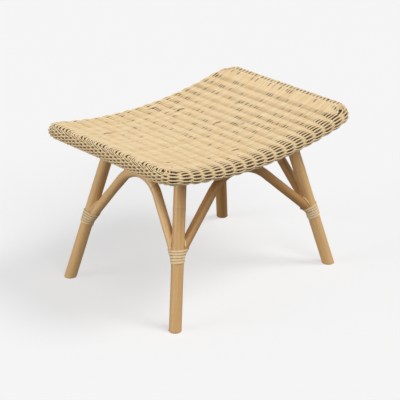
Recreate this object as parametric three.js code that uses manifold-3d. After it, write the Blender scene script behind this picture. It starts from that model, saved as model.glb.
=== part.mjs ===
// A curved rattan footstool: a woven seat round a rim of rattan rod, pole bearers and aprons
// under it, four splayed pole legs, four bent arch braces, and cane bindings that hold them.
// Millimetres, +Z up, X along the seat. The origin is on the floor under the seat's middle.
import * as THREE from 'three';
import { mergeVertices } from 'three/addons/utils/BufferGeometryUtils.js';
import Module from 'manifold-3d';

const wasm = await Module();
wasm.setup();

// Clearances
const fitGap = 0.3;
const laidGap = 0.6;
const cutOverrun = 5;

// Woven seat, and the rim rods inside its edge
const seatLength = 552;
const seatWidth = 396;
const seatCornerRadius = 32;
const seatMidHeight = 316.5;
const seatRise = 32.4;
const rimDiameter = 12;
const weaveThickness = 8.5;
const borderDiameter = 6;
const lipAngle = THREE.MathUtils.degToRad(-75);
const rimJointSetback = 20;
const dowelDiameter = 5;
const dowelLength = 20;

// Stakes across the seat, which the weave rises over in ridges. The outermost ones lie an inset
// in from the seat's ends.
const longStakes = 18;
const stakeEndInset = 29.5;
const stakeRidge = 2;

// Bearers across the seat, and aprons between the legs. Insets are measured in from the seat's
// outline, and drops down from the middle of the seat.
const bearerDiameter = 22;
const endBearerInset = 123.6;
const bearerRimInset = 5;
const apronDiameter = 18;
const endApronLift = 4;
const tenonDiameter = 9;
const tenonInset = 8;

// Legs
const legDiameter = 26;
const footEndInset = 47;
const footSideInset = 29;
const legTopSideInset = 93.2;
const legTopDrop = 5;

// Arch braces: the long ones stand at the front and back, the end ones at left and right.
// An apex offset is how far outward of the apron's axis the bend passes under the apron.
const archDiameter = 20;
const longArchBend = 115;
const endArchBend = 70;
const longApexOffset = -2.2;
const endApexOffset = 8.5;
const endFootDrop = 10;
const braceDropFrontLeft = 173.5;
const braceDropBackLeft = 178.5;
const braceDropFrontRight = 190.5;
const braceDropBackRight = 184.5;

// Cane bindings, wound by hand round each leg and its two brace ends, and their ties
const caneWidth = 5.2;
const caneThickness = 1.2;
const caneTurnGap = 0.6;
const caneEdgeShare = 0.12;
const bindingLoops = 5;
const bindingLift = 4;
const tieDiameter = 2.4;
const tiePocketShare = 0.55;

// Fasteners: how deep a head is sunk is kept with its own sizes
const legScrew = { shank: 5, head: 9, headHeight: 3, length: 60, sink: 1.5 };
const bearerScrew = { shank: 3, head: 5.5, headHeight: 1.6, length: 30, sink: 1 };
const archScrew = { shank: 3.5, head: 7, headHeight: 2, length: 29, sink: 1.5 };
const braceNail = { shank: 2, head: 4, headHeight: 0.8, sink: 1 };
const nailOffset = 10;
const nailTipInset = 4;

// Facet counts
const poleSides = 16;
const apronSides = 12;
const archSides = 12;
const archSteps = 20;
const rimSides = 8;
const borderSides = 6;
const pinSides = 8;
const tieSides = 6;
const tieSteps = 22;
const loopSteps = 24;
const longSegments = 16;
const cornerSegments = 5;
const edgeSegments = 6;
const hollowSegments = 6;
const bisections = 24;

// Radii and outline sizes that follow
const rimRadius = rimDiameter / 2;
const hollowRadius = rimRadius + fitGap;
const edgeRadius = hollowRadius + weaveThickness;
const borderRadius = borderDiameter / 2;
const rimHalfLength = seatLength / 2 - edgeRadius;
const rimHalfWidth = seatWidth / 2 - edgeRadius;
const cornerCentreX = rimHalfLength - seatCornerRadius;
const cornerCentreY = rimHalfWidth - seatCornerRadius;
const rimJointX = cornerCentreX - rimJointSetback;
const lastStakeX = seatLength / 2 - stakeEndInset;
const stakePitch = (2 * lastStakeX) / (longStakes - 1);
const bearerOffset = seatLength / 2 - endBearerInset;
const footHalfLength = seatLength / 2 - footEndInset;
const footHalfWidth = seatWidth / 2 - footSideInset;
const legTopHalfWidth = seatWidth / 2 - legTopSideInset;
const bearerRadius = bearerDiameter / 2;
const apronRadius = apronDiameter / 2;
const tenonRadius = tenonDiameter / 2;
const legRadius = legDiameter / 2;
const archRadius = archDiameter / 2;
const tieRadius = tieDiameter / 2;

// Height and slope of the rim's centre line along the seat
const rimHeight = (x) => seatMidHeight + seatRise * (x / rimHalfLength) ** 2;
const rimSlope = (x) => (2 * seatRise * x) / rimHalfLength ** 2;

// Bearers touch the woven sheet from below, and the long aprons carry the middle bearer
const slopeCosine = Math.cos(Math.atan(rimSlope(bearerOffset)));
const sheetToBearer = bearerRadius + fitGap;
const endBearerHeight = rimHeight(bearerOffset) + hollowRadius - sheetToBearer / slopeCosine;
const midBearerHeight = rimHeight(0) + hollowRadius - sheetToBearer;
const longApronHeight = midBearerHeight - bearerRadius - fitGap - apronRadius;
const endApronHeight = longApronHeight + endApronLift;

const vec = (x, y, z) => new THREE.Vector3(x, y, z);
const lerp = THREE.MathUtils.lerp;

const corners = [
  { name: 'front_left', sideX: -1, sideY: -1, braceHeight: seatMidHeight - braceDropFrontLeft },
  { name: 'back_left', sideX: -1, sideY: 1, braceHeight: seatMidHeight - braceDropBackLeft },
  { name: 'front_right', sideX: 1, sideY: -1, braceHeight: seatMidHeight - braceDropFrontRight },
  { name: 'back_right', sideX: 1, sideY: 1, braceHeight: seatMidHeight - braceDropBackRight },
];
const cornerNamed = Object.fromEntries(corners.map((corner) => [corner.name, corner]));

// A place on a leg's axis, from the floor up to the bearer that the leg carries
function legPoint(corner, height) {
  const share = height / endBearerHeight;
  const x = lerp(footHalfLength, bearerOffset, share);
  const y = lerp(footHalfWidth, legTopHalfWidth, share);
  return vec(corner.sideX * x, corner.sideY * y, height);
}

function legDirection(corner) {
  return legPoint(corner, endBearerHeight).sub(legPoint(corner, 0)).normalize();
}

// Solids and their geometry
function solidOf(geometry) {
  const bare = geometry.clone();
  bare.deleteAttribute('normal');
  bare.deleteAttribute('uv');
  const welded = mergeVertices(bare);
  return new wasm.Manifold(new wasm.Mesh({
    numProp: 3,
    vertProperties: new Float32Array(welded.attributes.position.array),
    triVerts: new Uint32Array(welded.index.array),
  }));
}

function geometryOf(solid) {
  const { vertProperties, triVerts } = solid.getMesh();
  const geometry = new THREE.BufferGeometry();
  geometry.setAttribute('position', new THREE.BufferAttribute(vertProperties, 3));
  geometry.setIndex(new THREE.BufferAttribute(triVerts, 1));
  return geometry;
}

function cut(solid, cutters) {
  return cutters.reduce((left, cutter) => left.subtract(cutter), solid);
}

// A straight pole between two points
function pole(from, to, radius, sides) {
  const axis = to.clone().sub(from);
  const geometry = new THREE.CylinderGeometry(radius, radius, axis.length(), sides);
  const turn = new THREE.Quaternion();
  turn.setFromUnitVectors(vec(0, 1, 0), axis.normalize());
  geometry.applyQuaternion(turn);
  geometry.translate(...from.clone().lerp(to, 0.5));
  return solidOf(geometry);
}

// A rod bent along a curve
function bentRod(path, radius, sides, steps) {
  const outline = Array.from({ length: sides }, (_, i) => {
    const angle = (2 * Math.PI * i) / sides;
    return new THREE.Vector2(radius * Math.cos(angle), radius * Math.sin(angle));
  });
  const shape = new THREE.Shape(outline);
  return new THREE.ExtrudeGeometry(shape, { steps, bevelEnabled: false, extrudePath: path });
}

// A surface through points, as triangles
function surface(points, triangles) {
  const geometry = new THREE.BufferGeometry().setFromPoints(points);
  geometry.setIndex(triangles);
  return geometry;
}

// A tube through rings of points, which run anticlockwise seen against the way of travel
function ringTube(rings, joined) {
  const sides = rings[0].length;
  const at = (ring, side) => (ring % rings.length) * sides + (side % sides);
  const triangles = [];
  const last = rings.length - 1;
  for (let ring = 0; ring < (joined ? rings.length : last); ring += 1) {
    for (let side = 0; side < sides; side += 1) {
      triangles.push(at(ring, side), at(ring + 1, side), at(ring + 1, side + 1));
      triangles.push(at(ring, side), at(ring + 1, side + 1), at(ring, side + 1));
    }
  }
  for (let side = 1; !joined && side < sides - 1; side += 1) {
    triangles.push(at(0, 0), at(0, side), at(0, side + 1));
    triangles.push(at(last, 0), at(last, side + 1), at(last, side));
  }
  return surface(rings.flat(), triangles);
}

// Stations round the rim: a place on its centre line, and the way out of the seat there
function cornerStations(sideX) {
  const first = sideX < 0 ? Math.PI : 1.5 * Math.PI;
  return Array.from({ length: cornerSegments + 1 }, (_, i) => {
    const angle = first + (Math.PI / 2) * (i / cornerSegments);
    const outX = Math.cos(angle);
    const outY = Math.sin(angle);
    const x = sideX * cornerCentreX + seatCornerRadius * outX;
    return { x, y: -cornerCentreY + seatCornerRadius * outY, outX, outY };
  });
}

function mirrored(stations) {
  const flipped = stations.map(({ x, y, outX, outY }) => ({ x, y: -y, outX, outY: -outY }));
  return flipped.reverse();
}

const straightStation = (x) => ({ x, y: -rimHalfWidth, outX: 0, outY: -1 });
const straightStations = Array.from({ length: longSegments + 1 }, (_, i) => (
  straightStation(lerp(-rimJointX, rimJointX, i / longSegments))));
const leftCorner = cornerStations(-1);
const rightCorner = cornerStations(1);
const frontStations = [...leftCorner, ...straightStations, ...rightCorner];
const loopStations = [...frontStations, ...mirrored(frontStations)];

// Rim ends that wrap round the seat's short sides, a clearance away from the straight rims
const rightJoint = [straightStation(rimJointX + fitGap)];
const leftJoint = [straightStation(-rimJointX - fitGap)];
const rightHalf = [...rightJoint, ...rightCorner];
const leftHalf = [...leftCorner, ...leftJoint];
const rightStations = [...rightHalf, ...mirrored(rightHalf)];
const leftStations = [...mirrored(leftHalf), ...leftHalf];

// A section drawn at a station: across is out of the seat, and up is height above the rim
function sectionAt({ x, y, outX, outY }, section) {
  return section.map(({ across, up }) => (
    vec(x + outX * across, y + outY * across, rimHeight(x) + up)));
}

function roundSection(radius, sides, middle = { across: 0, up: 0 }) {
  return Array.from({ length: sides }, (_, i) => {
    const angle = (2 * Math.PI * i) / sides;
    return {
      across: middle.across + radius * Math.cos(angle),
      up: middle.up + radius * Math.sin(angle),
    };
  });
}

function arcSection(radius, from, to, segments) {
  return Array.from({ length: segments + 1 }, (_, i) => {
    const angle = lerp(from, to, i / segments);
    return { across: radius * Math.cos(angle), up: radius * Math.sin(angle) };
  });
}

function rimTube(stations, radius) {
  const section = roundSection(radius, rimSides);
  return ringTube(stations.map((station) => sectionAt(station, section)), false);
}

// The weave has a ridge over each stake, and dips by this much between the stakes
function ridgeDip(x) {
  if (Math.abs(x) > lastStakeX) return 0;
  return stakeRidge * Math.sin((Math.PI * (lastStakeX - x)) / stakePitch) ** 2;
}

function weaveSection(x) {
  return [
    ...arcSection(hollowRadius, Math.PI / 2, lipAngle, hollowSegments),
    ...arcSection(edgeRadius - ridgeDip(x), lipAngle, Math.PI / 2, edgeSegments),
  ];
}

// The weave's own stations: on the stakes, and halfway between them
const halfPitches = Array.from({ length: 2 * longStakes - 1 }, (_, i) => i - longStakes + 1);
const weaveFront = [
  ...leftCorner,
  ...halfPitches.map((i) => (i * stakePitch) / 2)
    .filter((x) => Math.abs(x) < cornerCentreX)
    .map(straightStation),
  ...rightCorner,
];
const weaveLoop = [...weaveFront, ...mirrored(weaveFront)];

// The woven seat: a sheet that hooks down and under round the rim on all four sides
function wovenSeat() {
  const rings = weaveLoop.map((station) => sectionAt(station, weaveSection(station.x)));
  const size = rings[0].length;
  const count = rings.length;
  const at = (ring, side) => (ring % count) * size + side;
  const triangles = [];
  for (let ring = 0; ring < count; ring += 1) {
    for (let side = 0; side < size - 1; side += 1) {
      triangles.push(at(ring, side), at(ring + 1, side), at(ring + 1, side + 1));
      triangles.push(at(ring, side), at(ring + 1, side + 1), at(ring, side + 1));
    }
  }
  for (let ring = 0; ring < weaveFront.length - 1; ring += 1) {
    const back = count - 1 - ring;
    const top = size - 1;
    triangles.push(at(ring, top), at(ring + 1, top), at(back - 1, top));
    triangles.push(at(ring, top), at(back - 1, top), at(back, top));
    triangles.push(at(ring, 0), at(back, 0), at(back - 1, 0));
    triangles.push(at(ring, 0), at(back - 1, 0), at(ring + 1, 0));
  }
  return surface(rings.flat(), triangles);
}

// The border strand that closes the weave, laid against the lip under the rim
function seatBorder() {
  const reach = (hollowRadius + edgeRadius) / 2;
  const angle = lipAngle - Math.asin((borderRadius + fitGap) / reach);
  const middle = { across: reach * Math.cos(angle), up: reach * Math.sin(angle) };
  const section = roundSection(borderRadius, borderSides, middle);
  return ringTube(loopStations.map((station) => sectionAt(station, section)), true);
}

// The path of a brace: a straight limb, a bend under the apron, and a straight limb.
// It is drawn upright along its span, and leans across the span in step with its height.
class ArchCurve extends THREE.Curve {
  constructor({ feet, apex, bend, along, across }) {
    super();
    this.feet = feet;
    this.apex = apex;
    this.bend = bend;
    this.along = along;
    this.across = across;
    this.centre = new THREE.Vector2(apex[along], apex.z - bend);
    this.limbs = feet.map((foot) => this.limbTo(foot));
    this.arc = bend * (this.limbs[0].angle - this.limbs[1].angle);
    this.length = this.limbs[0].length + this.arc + this.limbs[1].length;
  }

  // A limb touches the bend where its radius is square to the limb
  limbTo(foot) {
    const flat = new THREE.Vector2(foot[this.along], foot.z);
    const out = flat.clone().sub(this.centre);
    const swing = Math.acos(this.bend / out.length());
    const turned = Math.atan2(out.y, out.x) + (out.x < 0 ? -swing : swing);
    const angle = turned < 0 ? turned + 2 * Math.PI : turned;
    return { flat, angle, length: Math.sqrt(out.lengthSq() - this.bend ** 2) };
  }

  bendPoint(angle) {
    const x = this.centre.x + this.bend * Math.cos(angle);
    return new THREE.Vector2(x, this.centre.y + this.bend * Math.sin(angle));
  }

  flatPoint(travelled) {
    const [first, second] = this.limbs;
    const past = travelled - first.length;
    if (past < 0) {
      return first.flat.clone().lerp(this.bendPoint(first.angle), travelled / first.length);
    }
    if (past < this.arc) {
      return this.bendPoint(first.angle - past / this.bend);
    }
    return this.bendPoint(second.angle).lerp(second.flat, (past - this.arc) / second.length);
  }

  getPoint(t, target = new THREE.Vector3()) {
    const place = this.flatPoint(t * this.length);
    const foot = this.feet[place.x < this.apex[this.along] ? 0 : 1];
    const rise = (place.y - foot.z) / (this.apex.z - foot.z);
    target[this.along] = place.x;
    target[this.across] = lerp(foot[this.across], this.apex[this.across], rise);
    target.z = place.y;
    return target;
  }
}

// The four spans between legs: each has an apron, and a brace that passes under the apron
const backRight = cornerNamed.back_right;
const longSide = {
  along: 'x',
  across: 'y',
  height: longApronHeight,
  place: legPoint(backRight, longApronHeight).y,
  bend: longArchBend,
  apexOffset: longApexOffset,
  footDrop: 0,
};
const endSide = {
  along: 'y',
  across: 'x',
  height: endApronHeight,
  place: legPoint(backRight, endApronHeight).x,
  bend: endArchBend,
  apexOffset: endApexOffset,
  footDrop: endFootDrop,
};
const spans = [
  { name: 'front', ends: ['front_left', 'front_right'], side: -1, ...longSide },
  { name: 'back', ends: ['back_left', 'back_right'], side: 1, ...longSide },
  { name: 'left', ends: ['front_left', 'back_left'], side: -1, ...endSide },
  { name: 'right', ends: ['front_right', 'back_right'], side: 1, ...endSide },
];
for (const span of spans) {
  const reach = archRadius + fitGap + apronRadius;
  const drop = Math.sqrt(reach ** 2 - span.apexOffset ** 2);
  const feet = span.ends.map((name) => (
    legPoint(cornerNamed[name], cornerNamed[name].braceHeight - span.footDrop)));
  span.apronAxis = vec(0, 0, span.height);
  span.apronAxis[span.across] = span.side * span.place;
  span.apex = vec(0, 0, span.height - drop);
  span.apex[span.across] = span.side * (span.place + span.apexOffset);
  span.curve = new ArchCurve({ feet, ...span });
}

// The end of a brace at a leg: where it leaves the leg's axis, and how it leans away
function limbAt(corner, span) {
  const up = legDirection(corner);
  const end = span.ends.indexOf(corner.name);
  const share = span.curve.limbs[end].length / span.curve.length;
  const foot = span.curve.getPoint(end);
  const direction = span.curve.getPoint(end === 0 ? share : 1 - share).sub(foot).normalize();
  const lean = direction.clone().addScaledVector(up, -direction.dot(up)).normalize();
  return { foot, direction, lean, angle: direction.angleTo(up) };
}

// Fasteners: a pin stands with the top of its head at its origin and its point at -Y
function pinGeometry(pin, length) {
  return new THREE.LatheGeometry([
    new THREE.Vector2(0, -length),
    new THREE.Vector2(pin.shank / 2, -length + pin.shank),
    new THREE.Vector2(pin.shank / 2, -pin.headHeight),
    new THREE.Vector2(pin.head / 2, 0),
    new THREE.Vector2(0, 0),
  ], pinSides);
}

function holeGeometry(pin, length) {
  const shank = pin.shank / 2 + fitGap;
  const head = pin.head / 2 + fitGap;
  return new THREE.LatheGeometry([
    new THREE.Vector2(0, -length - fitGap),
    new THREE.Vector2(shank, -length - fitGap),
    new THREE.Vector2(shank, -pin.headHeight),
    new THREE.Vector2(head, 0),
    new THREE.Vector2(head, cutOverrun),
    new THREE.Vector2(0, cutOverrun),
  ], pinSides);
}

const fastenerMeshes = [];

// Adds a fastener's mesh, and gives back the hole that it needs
function fasten(name, pin, length, headTop, direction) {
  const mesh = new THREE.Mesh(pinGeometry(pin, length), steel());
  mesh.name = name;
  mesh.position.copy(headTop);
  mesh.quaternion.setFromUnitVectors(vec(0, -1, 0), direction.clone().normalize());
  mesh.updateMatrix();
  fastenerMeshes.push(mesh);
  return solidOf(holeGeometry(pin, length).applyMatrix4(mesh.matrix));
}

function steel() {
  return new THREE.MeshStandardMaterial({ color: '#8d8f92', roughness: 0.4, metalness: 1 });
}

function peeledCane(color) {
  return new THREE.MeshStandardMaterial({ color, roughness: 0.55, metalness: 0 });
}

const materials = {
  weave: () => peeledCane('#e3cb9c'),
  rod: () => peeledCane('#c9a06a'),
  pole: () => peeledCane('#c2965c'),
  binding: () => peeledCane('#d4ab74'),
  dowel: () => peeledCane('#d9bd8c'),
};

function piece(name, shape, material) {
  const geometry = shape instanceof wasm.Manifold ? geometryOf(shape) : shape;
  const mesh = new THREE.Mesh(geometry, material());
  mesh.name = name;
  return mesh;
}

// Legs, as plain poles and as the space that pieces cut to fit round them keep clear
const legFootRun = legDiameter;
function legPole(corner, radius) {
  const below = legPoint(corner, -legFootRun);
  const top = legPoint(corner, endBearerHeight - legTopDrop);
  return pole(below, top, radius, poleSides);
}
const legSpaces = Object.fromEntries(corners.map((corner) => {
  const below = legPoint(corner, -legFootRun);
  const top = legPoint(corner, endBearerHeight);
  return [corner.name, pole(below, top, legRadius + fitGap, poleSides)];
}));

// Bearers, coped at both ends to the rims that they rest against
const rimSpaces = [straightStations, mirrored(straightStations)].map((stations) => (
  solidOf(rimTube(stations, hollowRadius))));
const bearerHalf = rimHalfWidth - bearerRimInset;
function bearerPole(x, height, radius) {
  return pole(vec(x, -bearerHalf, height), vec(x, bearerHalf, height), radius, poleSides);
}
const bearers = [
  { name: 'bearer_left', x: -bearerOffset, height: endBearerHeight },
  { name: 'bearer_middle', x: 0, height: midBearerHeight },
  { name: 'bearer_right', x: bearerOffset, height: endBearerHeight },
];

// Holes that each piece takes, gathered by the piece's name
const holes = {};
function addHole(hole, ...names) {
  for (const name of names) (holes[name] ??= []).push(hole);
}

// Rim dowels, half in each rod
for (const sideX of [-1, 1]) {
  for (const sideY of [-1, 1]) {
    const middle = vec(sideX * rimJointX, sideY * rimHalfWidth, rimHeight(rimJointX));
    const along = vec(1, 0, rimSlope(sideX * rimJointX)).normalize();
    const end = (reach) => middle.clone().addScaledVector(along, reach);
    const half = dowelLength / 2;
    const longRim = sideY < 0 ? 'rim_front' : 'rim_back';
    const endRim = sideX < 0 ? 'rim_left' : 'rim_right';
    const name = `rim_dowel_${longRim.slice(4)}_${endRim.slice(4)}`;
    const body = pole(end(-half), end(half), dowelDiameter / 2, pinSides);
    const space = pole(end(-half - fitGap), end(half + fitGap),
      dowelDiameter / 2 + fitGap, pinSides);
    fastenerMeshes.push(piece(name, body, materials.dowel));
    addHole(space, longRim, endRim);
  }
}

// Screws through the rims into the bearers' ends
for (const bearer of bearers) {
  for (const [rim, sideY] of [['rim_front', -1], ['rim_back', 1]]) {
    const name = `${bearer.name.replace('bearer', 'bearer_screw')}_${rim.slice(4)}`;
    const out = rimHalfWidth + rimRadius - bearerScrew.sink;
    const head = vec(bearer.x, sideY * out, rimHeight(bearer.x));
    addHole(fasten(name, bearerScrew, bearerScrew.length, head, vec(0, -sideY, 0)),
      bearer.name, rim);
  }
}

// Screws through the end bearers down the legs' axes
for (const corner of corners) {
  const down = legDirection(corner).negate();
  const head = legPoint(corner, endBearerHeight);
  head.addScaledVector(down, legScrew.sink - bearerRadius);
  const bearer = corner.sideX < 0 ? 'bearer_left' : 'bearer_right';
  addHole(fasten(`leg_screw_${corner.name}`, legScrew, legScrew.length, head, down),
    bearer, `leg_${corner.name}`);
}

// Screws up through the braces' bends into the aprons
for (const span of spans) {
  const up = span.apronAxis.clone().sub(span.apex).normalize();
  const head = span.apex.clone().addScaledVector(up, archScrew.sink - archRadius);
  addHole(fasten(`brace_screw_${span.name}`, archScrew, archScrew.length, head, up),
    `brace_${span.name}`, `apron_${span.name}`);
}

// Nails through the braces' ends into the legs, under the bindings
for (const span of spans) {
  for (const name of span.ends) {
    const limb = limbAt(cornerNamed[name], span);
    const onAxis = limb.foot.clone();
    onAxis.addScaledVector(limb.direction, nailOffset / Math.sin(limb.angle));
    onAxis.addScaledVector(limb.lean, -nailOffset);
    const reach = nailOffset + archRadius / Math.cos(limb.angle) - braceNail.sink;
    const head = onAxis.clone().addScaledVector(limb.lean, reach);
    const nail = `brace_nail_${span.name}_${name}`;
    const hole = fasten(nail, braceNail, reach - nailTipInset, head, limb.lean.clone().negate());
    addHole(hole, `brace_${span.name}`, `leg_${name}`);
  }
}

// Aprons: round rails coped to the legs, with a tenon let into each leg
function apronPole(span, inset, radius) {
  const [from, to] = span.ends.map((name) => legPoint(cornerNamed[name], span.height));
  const along = to.clone().sub(from).normalize();
  from.addScaledVector(along, inset);
  to.addScaledVector(along, -inset);
  return pole(from, to, radius, apronSides);
}
function apron(span) {
  const rail = cut(apronPole(span, 0, apronRadius), span.ends.map((name) => legSpaces[name]));
  return rail.add(apronPole(span, tenonInset, tenonRadius));
}
for (const span of spans) {
  const mortise = apronPole(span, tenonInset - fitGap, tenonRadius + fitGap);
  addHole(mortise, ...span.ends.map((name) => `leg_${name}`));
}

// Braces: the end ones are coped round the long ones where both reach one leg
function brace(span) {
  const bent = solidOf(bentRod(span.curve, archRadius, archSides, archSteps));
  const shaped = cut(bent, span.ends.map((name) => legSpaces[name]));
  return span.footDrop > 0 ? cut(shaped, longBraceSpaces) : shaped;
}
const longBraceSpaces = spans.filter((span) => span.along === 'x').map((span) => (
  solidOf(bentRod(span.curve, archRadius + fitGap, archSides, archSteps))));

// The floor that cuts the legs' feet flat
const floorWidth = 2 * (footHalfLength + footHalfWidth);
const floorDepth = 2 * legFootRun;
const floor = solidOf(new THREE.BoxGeometry(floorWidth, floorWidth, floorDepth)
  .translate(0, 0, -floorDepth / 2));

// A turn of cane follows the outline stretched tight round the leg and its two brace ends.
// At an angle round the leg, the outline's point is the furthest one out of any of the three.
function tightPoint(wrap, angle, height) {
  const normal = wrap.lean.clone().multiplyScalar(Math.cos(angle));
  normal.addScaledVector(wrap.side, Math.sin(angle));
  const best = { reach: legRadius, point: normal.clone().multiplyScalar(legRadius) };
  for (const limb of wrap.limbs) {
    const offset = Math.max(0, height - limb.footHeight) * Math.tan(limb.angle);
    const side = wrap.up.clone().cross(limb.lean);
    const long = archRadius / Math.cos(limb.angle);
    const alongNormal = normal.dot(limb.lean);
    const acrossNormal = normal.dot(side);
    const spread = Math.hypot(long * alongNormal, archRadius * acrossNormal);
    const reach = offset * alongNormal + spread;
    if (reach > best.reach) {
      best.reach = reach;
      best.point = limb.lean.clone().multiplyScalar(offset + long ** 2 * alongNormal / spread);
      best.point.addScaledVector(side, archRadius ** 2 * acrossNormal / spread);
    }
  }
  const place = wrap.centre.clone().addScaledVector(wrap.up, height).add(best.point);
  return { place: place.addScaledVector(normal, laidGap), normal };
}

// What one binding goes round, in the leg's own directions
function wrapAt(corner) {
  const up = legDirection(corner);
  const centre = legPoint(corner, corner.braceHeight + bindingLift);
  const limbs = spans.filter((span) => span.ends.includes(corner.name)).map((span) => {
    const limb = limbAt(corner, span);
    return { ...limb, footHeight: limb.foot.clone().sub(centre).dot(up) };
  });
  const lean = limbs[0].lean;
  const side = up.clone().cross(lean);
  for (const limb of limbs) limb.turn = Math.atan2(limb.lean.dot(side), limb.lean.dot(lean));
  return { up, centre, limbs, lean, side };
}

const turnPitch = caneWidth + caneTurnGap;
const bindingHalf = (bindingLoops * turnPitch + caneWidth) / 2;

// The flat cane strip's section between its lower and upper edge points
function caneSection(low, high) {
  const edge = (share, depth) => low.place.clone().lerp(high.place, share)
    .addScaledVector(low.normal, depth * caneThickness);
  return [
    edge(caneEdgeShare, 1),
    edge(1 - caneEdgeShare, 1),
    edge(1, 1 / 2),
    edge(1 - caneEdgeShare, 0),
    edge(caneEdgeShare, 0),
    edge(0, 1 / 2),
  ];
}

function binding(wrap) {
  const start = (wrap.limbs[0].turn + wrap.limbs[1].turn) / 2;
  const rings = Array.from({ length: bindingLoops * loopSteps + 1 }, (_, i) => {
    const loops = i / loopSteps;
    const height = (loops - bindingLoops / 2) * turnPitch;
    const angle = start + 2 * Math.PI * loops;
    return caneSection(
      tightPoint(wrap, angle, height - caneWidth / 2),
      tightPoint(wrap, angle, height + caneWidth / 2));
  });
  const straightEnd = (ring, way) => {
    const normal = tightPoint(wrap, start, 0).normal;
    const run = wrap.up.clone().cross(normal).multiplyScalar(way * caneWidth);
    return ring.map((point) => point.clone().add(run));
  };
  return [straightEnd(rings[0], -1), ...rings, straightEnd(rings.at(-1), 1)];
}

// Least distance between the points of turns that are at least half a loop apart
function leastGap(rings) {
  const apart = loopSteps / 2;
  let least = Infinity;
  for (let i = 0; i < rings.length; i += 1) {
    for (let j = i + apart; j < rings.length; j += 1) {
      for (const point of rings[i]) {
        for (const other of rings[j]) least = Math.min(least, point.distanceTo(other));
      }
    }
  }
  return least;
}

// A tie strand climbs from the binding over one brace's crotch, crosses the pocket between
// the braces, goes over the other crotch and comes down to the binding again
class TieCurve extends THREE.Curve {
  constructor(wrap) {
    super();
    this.wrap = wrap;
    this.onLeg = legRadius + fitGap + tieRadius;
    this.onLimb = archRadius + fitGap + tieRadius;
    this.endHeight = bindingHalf + laidGap + tieRadius;
    this.peaks = wrap.limbs.map((limb) => this.groove(limb, limb.turn));
    this.pocket = lerp(this.endHeight, Math.min(...this.peaks), tiePocketShare);
    const [first, second] = wrap.limbs;
    this.way = Math.sign(second.turn - first.turn);
    this.start = this.endTurn(first, -this.way);
    this.end = this.endTurn(second, this.way);
  }

  // Height of a strand that lies in the groove between the leg and the top of a limb
  groove(limb, turn) {
    const across = this.onLeg * Math.sin(turn - limb.turn);
    const out = this.onLeg * Math.cos(turn - limb.turn);
    if (out < 0 || Math.abs(across) > this.onLimb) return -Infinity;
    const over = Math.sqrt(this.onLimb ** 2 - across ** 2);
    return limb.footHeight + (out * Math.cos(limb.angle) + over) / Math.sin(limb.angle);
  }

  // The turn at which the groove on a limb's outer side comes down to the binding
  endTurn(limb, way) {
    let inner = 0;
    let outer = Math.PI / 2;
    for (let i = 0; i < bisections; i += 1) {
      const middle = (inner + outer) / 2;
      if (this.groove(limb, limb.turn + way * middle) > this.endHeight) inner = middle;
      else outer = middle;
    }
    return limb.turn + way * inner;
  }

  getPoint(t, target = new THREE.Vector3()) {
    const turn = lerp(this.start, this.end, t);
    const [first, second] = this.wrap.limbs;
    const inPocket = (turn - first.turn) * this.way > 0 && (second.turn - turn) * this.way > 0;
    const height = Math.max(
      this.groove(first, turn),
      this.groove(second, turn),
      inPocket ? this.pocket : this.endHeight);
    const { centre, up, lean, side } = this.wrap;
    return target.copy(centre)
      .addScaledVector(up, height)
      .addScaledVector(lean, this.onLeg * Math.cos(turn))
      .addScaledVector(side, this.onLeg * Math.sin(turn));
  }
}

// Assembly
const seat = new THREE.Group();
seat.add(piece('woven_seat', wovenSeat(), materials.weave));
seat.add(piece('seat_border', seatBorder(), materials.weave));
const rims = {
  rim_front: straightStations,
  rim_back: mirrored(straightStations),
  rim_left: leftStations,
  rim_right: rightStations,
};
for (const [name, stations] of Object.entries(rims)) {
  const body = cut(solidOf(rimTube(stations, rimRadius)), holes[name]);
  seat.add(piece(name, body, materials.rod));
}

const frame = new THREE.Group();
for (const { name, x, height } of bearers) {
  const body = cut(bearerPole(x, height, bearerRadius), [...rimSpaces, ...holes[name]]);
  frame.add(piece(name, body, materials.pole));
}
for (const span of spans) {
  const name = `apron_${span.name}`;
  frame.add(piece(name, cut(apron(span), holes[name]), materials.pole));
}
const bearerSpaces = [-bearerOffset, bearerOffset].map((x) => (
  bearerPole(x, endBearerHeight, bearerRadius + fitGap)));
for (const corner of corners) {
  const name = `leg_${corner.name}`;
  const body = cut(legPole(corner, legRadius), [floor, ...bearerSpaces, ...holes[name]]);
  frame.add(piece(name, body, materials.pole));
}

const braces = new THREE.Group();
for (const span of spans) {
  const name = `brace_${span.name}`;
  braces.add(piece(name, cut(brace(span), holes[name]), materials.pole));
}

const lashings = new THREE.Group();
for (const corner of corners) {
  const wrap = wrapAt(corner);
  const rings = binding(wrap);
  const name = `binding_${corner.name}`;
  console.log(`${name}: least gap to itself ${leastGap(rings).toFixed(2)} mm`);
  lashings.add(piece(name, ringTube(rings, false), materials.binding));
  const tie = bentRod(new TieCurve(wrap), tieRadius, tieSides, tieSteps);
  lashings.add(piece(`tie_${corner.name}`, tie, materials.binding));
}

const fasteners = new THREE.Group();
fasteners.add(...fastenerMeshes);

const stool = new THREE.Group();
stool.add(seat, frame, braces, lashings, fasteners);

export default stool;
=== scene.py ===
# A curved rattan footstool: its woven seat strand by strand, the smooth pole frame under it,
# the bent braces, and the cane bindings. Metres, +Z up, with the origin on the floor.
import math
import random
from collections import namedtuple

import bmesh
import bpy
import numpy as np
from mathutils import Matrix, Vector, noise


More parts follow.
